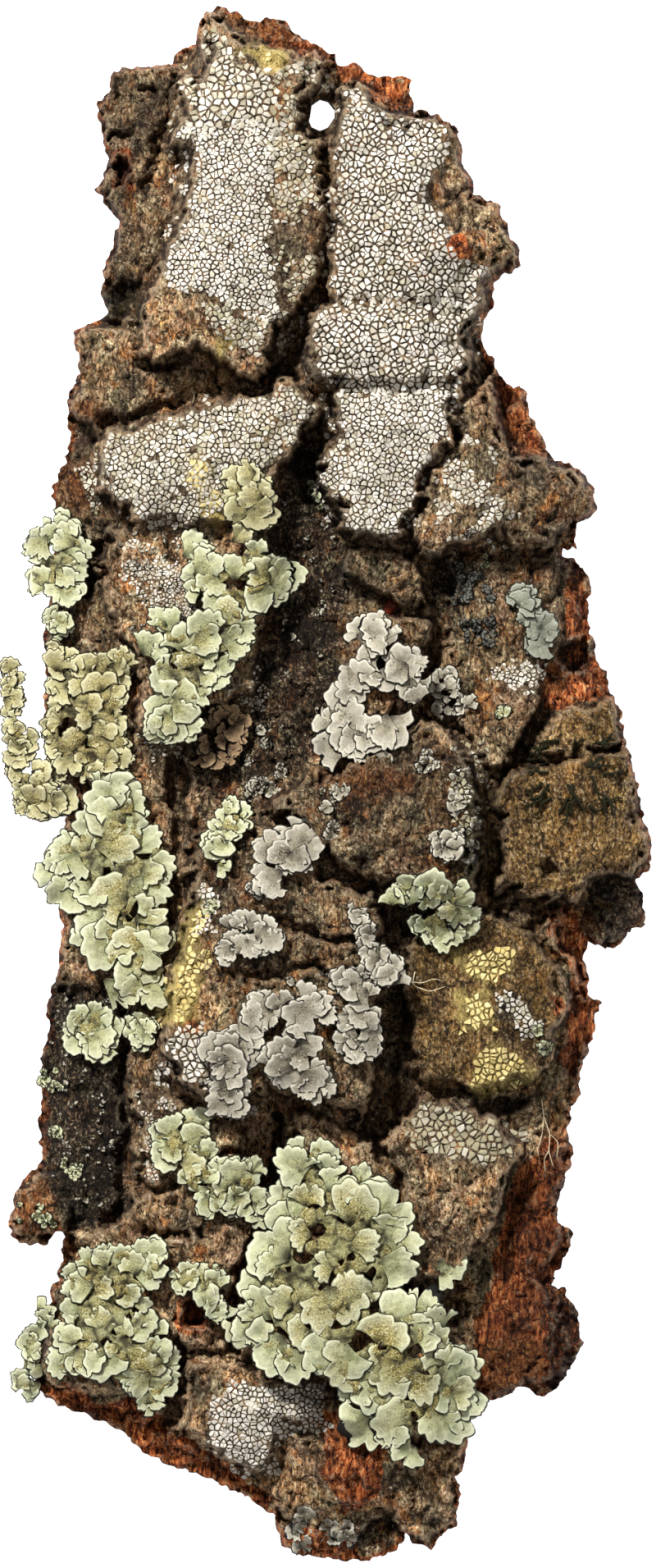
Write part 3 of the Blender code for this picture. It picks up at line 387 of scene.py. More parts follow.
def rim_edges(faces):
    """The directed edges that only one triangle has."""
    ends = np.concatenate([faces[:, [0, 1]], faces[:, [1, 2]], faces[:, [2, 0]]])
    have = set(map(tuple, ends.tolist()))
    return [edge for edge in map(tuple, ends.tolist()) if edge[::-1] not in have]


def mesh_of(name, points, faces, material, marks=None, smooth_faces=True):
    """An object from points in mm and faces, with point marks that its material reads."""
    mesh = bpy.data.meshes.new(name)
    mesh.from_pydata((np.asarray(points) * MM).tolist(), [], [list(map(int, f)) for f in faces])
    for mark, values in (marks or {}).items():
        layer = mesh.attributes.new(mark, "FLOAT_COLOR", "POINT")
        layer.data.foreach_set("color", np.asarray(values, np.float32).ravel())
    mesh.polygons.foreach_set("use_smooth", [smooth_faces] * len(mesh.polygons))
    mesh.materials.append(material)
    mesh.validate()
    return link_into_scene(name, mesh)


ORANGE_CORK = [
    [(318, 22), (349, 24), (367, 41), (392, 55), (406, 64), (404, 76), (370, 66), (330, 56)],
    [(408, 68), (451, 86), (477, 91), (500, 94), (499, 109), (504, 136), (492, 135), (455, 125),
     (440, 100), (412, 98)],
    [(604, 452), (619, 465), (641, 471), (646, 502), (658, 524), (665, 543), (678, 560),
     (650, 556), (622, 548), (612, 512), (604, 480)],
    [(588, 378), (600, 366), (592, 400), (606, 446), (600, 466), (588, 440), (584, 405)],
    [(690, 684), (712, 684), (718, 708), (721, 768), (728, 799), (738, 819), (746, 846),
     (700, 860), (664, 862), (666, 815), (692, 780), (686, 740)],
    [(662, 1106), (700, 1106), (716, 1152), (719, 1196), (736, 1224), (728, 1236), (720, 1290),
     (704, 1316), (686, 1296), (700, 1218), (690, 1170), (668, 1140)],
    [(668, 1208), (692, 1213), (690, 1238), (672, 1236)],
    [(628, 1440), (660, 1385), (699, 1385), (697, 1430), (680, 1470), (697, 1520), (690, 1550),
     (672, 1570), (700, 1592), (713, 1640), (700, 1670), (678, 1697), (640, 1693), (600, 1708),
     (585, 1705), (580, 1640), (600, 1560), (606, 1505)],
    [(30, 1667), (38, 1690), (54, 1708), (103, 1730), (144, 1744), (163, 1762), (182, 1780),
     (238, 1799), (274, 1817), (305, 1830), (329, 1850), (332, 1832), (300, 1806), (250, 1772),
     (200, 1746), (185, 1722), (160, 1706), (130, 1712), (110, 1706), (52, 1682)],
    [(392, 1722), (440, 1725), (470, 1765), (466, 1830), (420, 1846), (392, 1800)],
    [(340, 1862), (440, 1862), (436, 1905), (369, 1902), (346, 1887)],
    [(52, 1215), (66, 1215), (66, 1290), (52, 1292)], [(45, 1325), (58, 1325), (56, 1412), (44, 1412)],
    [(212, 1584), (254, 1582), (256, 1622), (216, 1624)],
    [(214, 1216), (246, 1218), (246, 1262), (216, 1258)],
    [(138, 180), (158, 182), (162, 226), (138, 226)], [(548, 286), (572, 286), (572, 312), (548, 312)],
]
RED_CORK = [
    [(384, 944), (440, 930), (512, 942), (506, 966), (430, 974), (388, 966)],
    [(62, 558), (110, 562), (112, 615), (66, 615)], [(80, 478), (132, 482), (130, 516), (82, 516)],
    [(590, 1635), (662, 1640), (660, 1702), (600, 1706)], [(662, 788), (692, 790), (690, 842), (664, 840)],
    [(300, 5), (360, 28), (350, 48), (300, 40), (270, 12)],
    [(10, 1460), (60, 1430), (76, 1502), (20, 1515)],
]
# Sooty, near-black bark, and the gaps under overhanging plate edges, where black paint stands in for their
# shadow.
SOOTY_BARK_AND_SHADOWS = [
    [(404, 974), (440, 972), (442, 1010), (406, 1012)],
    [(50, 1290), (62, 1195), (150, 1205), (152, 1480), (80, 1500), (50, 1420)],
    [(128, 335), (170, 335), (170, 395), (128, 392)], [(680, 680), (712, 682), (712, 722), (680, 720)],
    [(680, 780), (724, 782), (724, 822), (680, 820)], [(665, 1570), (714, 1580), (712, 1700), (668, 1700)],
    [(484, 108), (505, 110), (505, 137), (484, 136)], [(435, 1850), (482, 1850), (480, 1890), (436, 1890)],
    [(545, 1337), (640, 1330), (650, 1345), (620, 1362), (575, 1352)],
    [(520, 670), (560, 672), (556, 742), (524, 742)],
    [(725, 1070), (781, 1075), (790, 1129), (740, 1160), (712, 1112)],
] + VALLEY
YELLOW_CRUST = [
    [(295, 60), (355, 55), (350, 80), (320, 82)], [(262, 418), (280, 415), (275, 450), (262, 450)],
    [(228, 560), (260, 560), (265, 575), (240, 600), (230, 590)],
    [(240, 610), (275, 600), (270, 640), (250, 630)],
    [(222, 1105), (245, 1100), (250, 1160), (243, 1196), (226, 1246), (196, 1246), (200, 1200),
     (213, 1160)],
    [(562, 1166), (590, 1160), (622, 1162), (620, 1186), (596, 1196), (570, 1190)],
    [(560, 1212), (596, 1206), (600, 1250), (564, 1254)],
    [(574, 1282), (600, 1274), (646, 1276), (648, 1322), (600, 1333), (576, 1326)],
]
OLIVE_BARK = [
    [(598, 950), (625, 935), (660, 885), (692, 860), (748, 846), (772, 940), (796, 1050),
     (728, 1070), (700, 1100), (600, 1092), (596, 1040)],
    [(490, 1140), (560, 1110), (640, 1115), (664, 1142), (690, 1240), (650, 1322), (520, 1336),
     (490, 1250)],
]
DARKER_AND_SHADED_ZONES = [
    # share of the light that the bark gives back there, next to clean bark, and the outline; the zones are
    # partly darker bark and partly painted shade
    (0.45, [(114, 86), (208, 76), (212, 135), (186, 200), (182, 235), (206, 285), (168, 390),
            (124, 390)]),
    (0.42, VALLEY[0]),
    (0.6, [(530, 690), (690, 668), (690, 780), (655, 890), (615, 940), (560, 870), (530, 800)]),
    (0.7, [(600, 950), (660, 890), (746, 845), (795, 1050), (728, 1070), (700, 1102), (600, 1092)]),
    (0.46, [(600, 950), (650, 905), (660, 1000), (655, 1095), (600, 1092)]),
    (0.52, [(300, 985), (430, 920), (520, 872), (592, 955), (600, 1000), (578, 1105), (440, 1075),
            (370, 1010)]),
    (0.58, [(225, 1000), (370, 1010), (480, 1085), (470, 1200), (225, 1200)]),
    (0.42, [(470, 1130), (545, 1108), (556, 1200), (552, 1337), (470, 1345)]),
    (0.5, [(545, 1108), (640, 1115), (700, 1212), (650, 1322), (552, 1337), (556, 1200)]),
    (0.2, [(50, 1290), (62, 1195), (150, 1205), (156, 1480), (80, 1500), (50, 1420)]),
    (0.52, [(628, 1440), (699, 1385), (697, 1520), (713, 1640), (678, 1697), (600, 1708),
            (580, 1640), (606, 1505)]),
    (0.64, [(575, 462), (612, 470), (714, 576), (728, 620), (690, 660), (600, 660), (560, 600),
            (590, 520)]),
    (0.6, [(90, 397), (178, 446), (240, 440), (200, 500), (120, 512), (78, 484)]),
    (0.5, [(62, 515), (112, 520), (120, 610), (150, 640), (140, 700), (66, 700)]),
    (0.55, [(60, 740), (130, 720), (160, 900), (60, 900)]),
    (0.6, [(405, 660), (528, 690), (540, 780), (500, 870), (430, 800)]),
    (0.5, [(740, 1060), (795, 1060), (790, 1130), (740, 1160), (705, 1110)]),
]
MOSS = [
    [(560, 965), (598, 965), (592, 1096), (562, 1096)],
    [(130, 338), (168, 338), (168, 388), (130, 388)],
]
WHITE_CRUST = {
    # name: size of a tile in mm, share of the bark it covers, 0 white to 1 grey-green, outline
    "dome_flank": (1.3, 0.75, 0.8, [(552, 905), (588, 915), (598, 985), (584, 1040), (560, 1000)]),
    "ridge_left": (1.25, 0.97, 0.05, [
        (206, 160), (334, 160), (336, 190), (330, 290), (345, 385), (300, 384), (240, 362),
        (195, 330), (205, 300), (215, 255), (218, 190)]),
    "ridge_left_top": (1.8, 0.97, 0.45, [
        (238, 50), (262, 30), (300, 82), (332, 90), (336, 166), (216, 166), (232, 140)]),
    "ridge_left_flank": (1.4, 0.5, 0.7, [
        (332, 90), (396, 66), (398, 110), (372, 130), (396, 180), (402, 320), (376, 376),
        (340, 384), (330, 290), (336, 190)]),
    "ridge_left_foot": (1.3, 0.85, 0.7, [
        (236, 362), (300, 384), (345, 385), (372, 376), (350, 420), (330, 440), (296, 430), (262, 400)]),
    "strip_left": (1.5, 0.8, 0.8, [(214, 84), (238, 84), (230, 140), (206, 190), (200, 180), (212, 136)]),
    "ridge_right": (1.5, 0.99, 0.05, [
        (408, 104), (445, 102), (458, 128), (540, 142), (548, 165), (545, 190), (530, 210),
        (525, 240), (545, 255), (555, 270), (550, 300), (570, 318), (598, 335), (590, 374),
        (480, 372), (400, 370), (400, 240), (402, 150)]),
    "bulge": (1.5, 1.0, 0.0, [
        (368, 400), (380, 372), (404, 358), (440, 364), (480, 368), (590, 370), (584, 400),
        (580, 432), (568, 468), (550, 486), (430, 486), (396, 478), (368, 446)]),
    "plate_left": (1.3, 0.95, 0.4, [
        (132, 524), (200, 504), (250, 490), (320, 478), (372, 462), (392, 488), (372, 530),
        (345, 560), (300, 566), (285, 580), (278, 620), (240, 652), (180, 650), (160, 622),
        (115, 592), (120, 558)]),
    "plate_centre": (1.3, 0.97, 0.1, [
        (396, 480), (562, 480), (556, 520), (536, 552), (512, 590), (500, 646), (432, 656),
        (402, 630), (386, 600), (390, 560), (404, 530)]),
    "bottom": (1.3, 1.0, 0.05, [
        (286, 1684), (396, 1684), (398, 1742), (345, 1750), (336, 1800), (300, 1806), (262, 1780),
        (252, 1744), (272, 1700)]),
    "dome_rim": (1.5, 0.97, 0.15, [
        (196, 1262), (240, 1252), (262, 1270), (290, 1318), (304, 1358), (262, 1352), (235, 1338),
        (198, 1316)]),
    "lower_right": (1.8, 0.96, 1.0, [
        (500, 1345), (560, 1342), (600, 1354), (640, 1384), (632, 1416), (600, 1420), (540, 1412),
        (500, 1396)]),
    "small_right": (1.1, 0.9, 0.1, [(596, 822), (640, 812), (668, 816), (662, 840), (628, 846)]),
    "slope_right": (1.3, 0.9, 0.3, [
        (598, 1216), (620, 1206), (644, 1222), (662, 1250), (640, 1258), (612, 1240)]),
    "dome_top": (1.1, 0.7, 0.3, [(238, 1078), (262, 1080), (262, 1132), (240, 1132)]),
    "mid_left": (0.95, 0.75, 0.25, [
        (150, 690), (200, 680), (246, 706), (244, 756), (196, 760), (176, 730)]),
    "mid_chip": (0.95, 0.7, 0.3, [(168, 888), (214, 884), (222, 922), (180, 930)]),
    "mid_lump": (0.95, 0.4, 0.3, [(276, 806), (316, 806), (318, 860), (284, 866)]),
    "low_left": (1.0, 0.4, 0.3, [(165, 1330), (250, 1356), (240, 1400), (168, 1470), (160, 1400)]),
    "shelf_right": (1.3, 0.45, 0.3, [
        (560, 520), (600, 560), (630, 620), (620, 655), (560, 660), (520, 650), (530, 600)]),
    "plate_low": (1.1, 0.35, 0.6, [
        (120, 560), (86, 590), (120, 650), (200, 680), (260, 660), (200, 650), (160, 640)]),
}


def crust_cover(points):
    """How much of the bark the white crust hides at plan points."""
    found = np.zeros(len(points))
    for size, cover, tone, outline in WHITE_CRUST.values():
        found = np.maximum(found, cover * zone(points, [outline], 2.0, 2.4, 31))
    return found


# Dust, moss and crumbs of bark have filled the narrow furrows part way, most where crust grows.
FURROW_FILLS = ((3.2, 3.0), (7.0, 6.5))  # half width of a furrow and the depth that stays open, in mm
net_spots = tops.low + NET * np.stack(
    np.meshgrid(*map(np.arange, tops.values.shape), indexing="ij"), axis=-1).reshape(-1, 2)
crusted_over = crust_cover(net_spots).reshape(tops.values.shape)
for reach, sink in FURROW_FILLS:
    tops.values = np.maximum(tops.values, tops.blurred(reach) - sink * (1 - 0.7 * crusted_over))
slopes = np.hypot(*np.gradient(tops.blurred(NET), NET))

rim = divided(at(OUTLINE), RIM_STEP, 0.8, 21)
hole = divided(at(HANGING_HOLE), RIM_STEP, 0.0, 22)
skin = Net(tops.low, NET, bark_height(net_spots).reshape(tops.values.shape))
fine_mean, near_mean, wide_mean = skin.blurred(1.0), skin.blurred(2.7), skin.blurred(8.0)
rng = np.random.default_rng(7)
coarse = hex_points(rim.min(axis=0), rim.max(axis=0), PLATE_STEP, rng)
fine = hex_points(rim.min(axis=0), rim.max(axis=0), CLIFF_STEP, rng)
coarse = coarse[tops.read(coarse, slopes) < CLIFF_SLOPE]
fine = fine[tops.read(fine, slopes) >= CLIFF_SLOPE]
inner = np.concatenate([coarse, fine])
inner = inner[(depth_inside(inner, rim) > 0.5) & (depth_inside(inner, hole) < -0.5)]
plan, faces = filled(inner, [rim, hole])
height = bark_height(plan)

back_inner = hex_points(rim.min(axis=0), rim.max(axis=0), BACK_STEP, rng)
back_inner = back_inner[(depth_inside(back_inner, rim) > 1.4) & (depth_inside(back_inner, hole) < -1.4)]
back_plan, back_faces = filled(back_inner, [rim, hole])
x, y = back_plan.T
back_height = backs.read(back_plan)
lifted = smooth(back_height / 1.2)
back_height = back_height + lifted * (0.3 * grain(x, y * 0.3, 2.4, 23) + 0.25 * grain(x, y, 4, 24))
back_height = np.maximum(back_height, 0)

height = np.maximum(height, backs.read(plan) + 1.2)
points = [np.column_stack([plan, height]), np.column_stack([back_plan, back_height])]
shape = [faces, back_faces[:, ::-1] + len(plan)]
count = len(plan) + len(back_plan)
lower_of = {tuple(np.round(spot, 5)): len(plan) + k for k, spot in enumerate(back_plan)}
upper_rim = rim_edges(faces)
after = dict(upper_rim)
before = {b: a for a, b in upper_rim}
rings, walls_made = {}, []
for a in after:
    along = plan[after[a]] - plan[before[a]]
    out = np.array([along[1], -along[0]]) / (math.hypot(*along) + 1e-9)
    spot = plan[a]
    base = lower_of.get(tuple(np.round(spot, 5)))
    if base is None:
        continue
    low_z, high_z = back_height[base - len(plan)], height[a]
    column = [base]
    calm = float(smooth(-depth_inside(spot[None], hole)[0] / 3))
    for share in RIM_RINGS:
        z = low_z + (high_z - low_z) * share
        around = np.array([spot[0] + spot[1]]), np.array([z * 1.3])
        sway = 0.5 * float(grain(*around, 2.3, 25)[0]) + 0.25 * float(grain(*around, 1.1, 26)[0]) - 0.15
        walls_made.append((*(spot + out * sway * calm), z))
        column.append(count)
        count += 1
    rings[a] = column + [a]
points.append(np.array(walls_made))
walls_faces = []
for a, b in upper_rim:
    if a in rings and b in rings:
        for k in range(len(RIM_RINGS) + 1):
            low_a, high_a, low_b, high_b = rings[a][k], rings[a][k + 1], rings[b][k], rings[b][k + 1]
            walls_faces += [(high_b, high_a, low_a), (high_b, low_a, low_b)]
shape.append(np.array(walls_faces))
points, shape = np.concatenate(points), np.concatenate(shape)

xy = points[:, :2]
x, y, z = points.T
# How far a point lies below or above the bark just round it: the material paints dirt and shade in the pits,
# and a paler colour on raised bits that is partly wear and partly a painted highlight.
pit_and_ridge_shading = np.clip(0.5 + (skin.read(xy, fine_mean) - z) / 2.4, 0, 1)
# Painted shade: how far a point lies below the bark round it, near and wide, which darkens the hollows and
# furrows.
hollow_shade = smooth((skin.read(xy, near_mean) - z - 0.6) / 5.0)
sunk_shade = smooth((skin.read(xy, wide_mean) - z - 4.0) / 10.0)
steep = smooth((tops.read(xy, slopes) - 0.8) / 2.2)
near_rim = 1 - smooth(depth_inside(xy, rim) / 2.5)
place = np.column_stack([
    np.maximum(zone(xy, ORANGE_CORK, 3.0, 2.0, 32), 0.75 * near_rim), np.maximum(hollow_shade, 0.65 * sunk_shade),
    crust_cover(xy), zone(xy, MOSS, 4.0, 4.0, 34)])
kind = np.column_stack([
    zone(xy, YELLOW_CRUST, 2.0, 3.4, 36), zone(xy, SOOTY_BARK_AND_SHADOWS, 3.0, 2.5, 38), steep,
    zone(xy, RED_CORK, 3.0, 2.0, 40)])
zone_darkening_and_shade = np.zeros(len(xy))
for share, outline in DARKER_AND_SHADED_ZONES:
    zone_darkening_and_shade = np.maximum(zone_darkening_and_shade, (1 - share) * zone(xy, [outline], 5.0, 4.0, 43))
relief = np.column_stack([pit_and_ridge_shading, zone(xy, OLIVE_BARK, 4.0, 3.0, 41), zone_darkening_and_shade, np.ones(len(xy))])

# Weathered cork bark: dry, grey-brown and fibrous, so it scatters light with almost no gloss.
cork = bpy.data.materials.new("weathered cork bark")
cork.use_nodes = True
tree = cork.node_tree
shader = tree.nodes["Principled BSDF"]
PER_MM = 1000.0


def add(tree, kind, inputs=None, **settings):
    """Adds a node to a tree. An input is a value, a hex colour, the output socket that feeds it,
    or such a socket with the stops of the colour ramp that it goes through."""
    made = tree.nodes.new("ShaderNode" + kind)
    for name, value in settings.items():
        setattr(made, name, value)
    for name, value in (inputs or {}).items():
        if isinstance(value, tuple) and isinstance(value[-1], list):
            pattern, stops = value
            band = add(tree, "ValToRGB", {"Fac": pattern})
            for _ in stops[2:]:
                band.color_ramp.elements.new(0.5)
            for element, (position, colour) in zip(band.color_ramp.elements, stops):
                element.position = position
                element.color = linear(colour) if isinstance(colour, str) else (colour, colour, colour, 1)
            value = band.outputs["Color"]
        if isinstance(value, str):
            value = linear(value)
        if isinstance(value, bpy.types.NodeSocket):
            tree.links.new(value, made.inputs[name])
        else:
            made.inputs[name].default_value = value
    return made


def coated(tree, colour, coats):
    """Lays coats over a colour: each one's share, the mesh part it keeps to, if any, and its colour."""
    for share, part, coat in coats:
        if part is not None:
            share = add(tree, "Math", {0: part, 1: share}, operation="MULTIPLY").outputs[0]
        colour = add(tree, "Mix", {0: share, 6: colour, 7: coat}, data_type="RGBA").outputs[2]
    return colour


def stretched_noise(tree, across, along, detail, rough=0.6):
    """Noise whose grains are that many millimetres wide and long, along Y."""
    where = add(tree, "TexCoord").outputs["Object"]
    scaled = add(tree, "Mapping", {"Vector": where, "Scale": (
        PER_MM / across, PER_MM / along, PER_MM / across)})
    return add(tree, "TexNoise", {"Vector": scaled.outputs[0], "Scale": 1.0, "Detail": detail,
                                  "Roughness": rough}).outputs["Fac"]


def crazing(tree, across, along):
    """Distance from the cracks between cells that many millimetres wide and long, in cells."""
    where = add(tree, "TexCoord").outputs["Object"]
    bend = add(tree, "TexNoise", {"Vector": where, "Scale": PER_MM / (0.6 * across), "Detail": 4.0})
    shift = add(tree, "VectorMath", {0: bend.outputs["Color"], 3: 0.7 * across * MM}, operation="SCALE")
    bent = add(tree, "VectorMath", {0: where, 1: shift.outputs[0]}, operation="ADD").outputs[0]
    scaled = add(tree, "Mapping", {"Vector": bent, "Scale": (
        PER_MM / across, PER_MM / along, PER_MM / across)})
    return add(tree, "TexVoronoi", {"Vector": scaled.outputs[0], "Scale": 1.0},
               feature="DISTANCE_TO_EDGE").outputs["Distance"]


def mark(tree, name):
    """A mesh mark's red, green, blue and alpha parts."""
    found = add(tree, "Attribute", attribute_name=name)
    return [*add(tree, "SeparateColor", {0: found.outputs["Color"]}).outputs, found.outputs["Alpha"]]


shades = stretched_noise(tree, 4.5, 6.5, 6, 0.7)
crumbs = stretched_noise(tree, 1.0, 1.4, 4, 0.7)
fibre = stretched_noise(tree, 0.8, 3.6, 6, 0.68)
flecks = stretched_noise(tree, 0.7, 1.1, 6, 0.75)
patches = stretched_noise(tree, 6.0, 9.0, 6, 0.62)
blotches = stretched_noise(tree, 2.4, 3.2, 6, 0.65)
stains = stretched_noise(tree, 15.0, 22.0, 6, 0.62)
warmth = stretched_noise(tree, 7.0, 9.0, 6, 0.66)
bleach = stretched_noise(tree, 8.5, 8.0, 6, 0.66)
algae = stretched_noise(tree, 10.0, 12.0, 6, 0.64)
big_cracks = crazing(tree, 4.6, 8.0)
small_cracks = crazing(tree, 1.3, 1.7)
orange_part, hollow_shade_part, crust_part, moss_part = mark(tree, "place")
yellow_part, sooty_and_shadow_part, steep_part, red_part = mark(tree, "kind")
pit_and_ridge_shading_part, olive_part, zone_darkening_and_shade_part = mark(tree, "relief")[:3]

brown = (fibre, [(0.36, "#180B03"), (0.43, "#54361C"), (0.5, "#936B43"), (0.57, "#C89C69"),
                 (0.66, "#F6DAB0")])
grey = (flecks, [(0.36, "#22150A"), (0.44, "#6C5539"), (0.51, "#AC9069"), (0.58, "#DEC498"),
                 (0.68, "#FBEDCF")])
pinkish = (flecks, [(0.36, "#3A2214"), (0.46, "#966C4E"), (0.54, "#D3A980"), (0.64, "#F8DEBF")])
greenish = (flecks, [(0.36, "#1C180C"), (0.46, "#585036"), (0.54, "#8A8060"), (0.64, "#BDB48E")])
amber = (fibre, [(0.36, "#1E0B03"), (0.45, "#6A3510"), (0.53, "#AE6424"), (0.66, "#E8AE60")])
olive = (flecks, [(0.36, "#2E1C08"), (0.46, "#64461E"), (0.54, "#9A753A"), (0.66, "#D0AA64")])
colour = coated(tree, brown, [
    ((patches, [(0.44, 0.0), (0.56, 1.0)]), None, grey),
    ((bleach, [(0.53, 0.0), (0.6, 0.8)]), None, pinkish),
    ((algae, [(0.54, 0.0), (0.6, 0.7)]), None, greenish),
    ((warmth, [(0.54, 0.0), (0.61, 0.8)]), None, amber),
    ((stains, [(0.5, 0.0), (0.6, 0.7)]), None, "#1A0F08"),
    (0.75, olive_part, olive),
])
colour = add(tree, "Mix", {0: 0.75, 6: colour, 7: (shades, [(0.38, 0.16), (0.62, 0.88)])},
             data_type="RGBA", blend_type="OVERLAY").outputs[2]

film = coated(tree, (flecks, [(0.36, "#1C140D"), (0.46, "#4A3C2C"), (0.56, "#85765F"), (0.68, "#BCAF98")]), [
    ((small_cracks, [(0.04, 0.85), (0.12, 0.0)]), None, "#2A1D12"),
])
orange = (fibre, [(0.36, "#1A0702"), (0.44, "#5A240C"), (0.5, "#984A20"), (0.58, "#BE7540"),
                  (0.68, "#DEA470")])
orange = add(tree, "Mix", {0: 0.75, 6: orange, 7: (patches, [(0.38, 0.12), (0.6, 0.85)])},
             data_type="RGBA", blend_type="OVERLAY").outputs[2]
least_bare = add(tree, "Math", {0: orange_part, 1: 0.65}, operation="SUBTRACT").outputs[0]
bare = add(tree, "Math", {0: blotches, 1: 1.3, 2: least_bare}, operation="MULTIPLY_ADD",
           use_clamp=True).outputs[0]
fresh_break = (fibre, [(0.38, "#24130A"), (0.5, "#7A5233"), (0.62, "#C29A70")])
reddish = (flecks, [(0.38, "#1C0A04"), (0.5, "#6E3A1A"), (0.6, "#A8703C"), (0.68, "#D0A468")])
moss_green = (fibre, [(0.36, "#141204"), (0.52, "#48431A"), (0.68, "#7A7238")])
worn_and_highlit = (flecks, [(0.4, "#8E7A5E"), (0.6, "#D6C7A8")])
dusty_yellow = (flecks, [(0.38, "#7A6434"), (0.5, "#B39C5A"), (0.64, "#D6C280")])
cracked = add(tree, "Math", {0: (big_cracks, [(0.012, 0.85), (0.05, 0.0)]),
                             1: (blotches, [(0.42, 0.2), (0.54, 1.0)])}, operation="MULTIPLY").outputs[0]
colour = coated(tree, colour, [
    ((crumbs, [(0.58, 0.0), (0.64, 0.6)]), None, "#E8D3AC"),
    ((crumbs, [(0.4, 0.8), (0.44, 0.0)]), None, "#120A05"),
    ((blotches, [(0.34, 0.3), (0.5, 1.0)]), crust_part, film),
    ((bare, [(0.4, 0.0), (0.6, 1.0)]), None, orange),
    ((patches, [(0.42, 0.0), (0.6, 0.6)]), steep_part, fresh_break),
    (0.8, red_part, reddish),
    ((flecks, [(0.44, 0.0), (0.52, 0.85)]), moss_part, moss_green),
    # Near black: sooty bark, and painted shadow under overhanging edges.
    ((flecks, [(0.46, 0.92), (0.58, 0.3)]), sooty_and_shadow_part, "#120C07"),
    # Raised bits go paler: partly rubbed bark, partly a painted highlight.
    ((pit_and_ridge_shading_part, [(0.12, 0.28), (0.36, 0.0)]), None, worn_and_highlit),
    # Pits go dark brown: partly dirt, partly painted shade.
    ((pit_and_ridge_shading_part, [(0.58, 0.0), (0.95, 0.75)]), None, "#1A0F08"),
    (cracked, None, "#120A05"),
    ((blotches, [(0.36, 0.5), (0.44, 0.95)]), yellow_part, dusty_yellow),
    # Painted shade: the bark goes near black down in its hollows and furrows.
    ((flecks, [(0.42, 0.75), (0.62, 0.15)]), hollow_shade_part, "#1C1209"),
    # Darker bark and painted shade over whole zones of the slab.
    ((flecks, [(0.5, 1.0), (0.64, 0.45)]), zone_darkening_and_shade_part, "#0C0703"),
])
tree.links.new(colour, shader.inputs["Base Color"])
shader.inputs["Roughness"].default_value = 0.93
shader.inputs["Specular IOR Level"].default_value = 0.2
fleck_relief = add(tree, "Math", {0: flecks, 1: 0.6, 2: (big_cracks, [(0.012, 0.0), (0.05, 0.3)])},
                   operation="MULTIPLY_ADD").outputs[0]
rough_relief = add(tree, "Math", {0: fibre, 1: 0.8, 2: fleck_relief}, operation="MULTIPLY_ADD").outputs[0]
raised = add(tree, "Bump", {"Height": rough_relief, "Strength": 1.0, "Distance": 1.1 * MM})
tree.links.new(raised.outputs[0], shader.inputs["Normal"])

bark = mesh_of("bark_slab", points, shape, cork, {"place": place, "kind": kind, "relief": relief})
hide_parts("bark")
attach(bark, "root")

# The white crust: a crustose lichen that has cracked into areoles about a millimetre wide. Each
# is a flat, chalky tile that grew on the bark, with dark bark showing in the cracks.
CRACK, FISSURE = 0.03, 0.2  # half widths of a crack and of a fissure, in mm
FISSURE_SPACING = 1.7  # width of a group of areoles between fissures, in tiles
AREOLE_RISE = 0.26  # how far an areole stands proud of the bark, in mm
ground_tree = tree_of(bark)


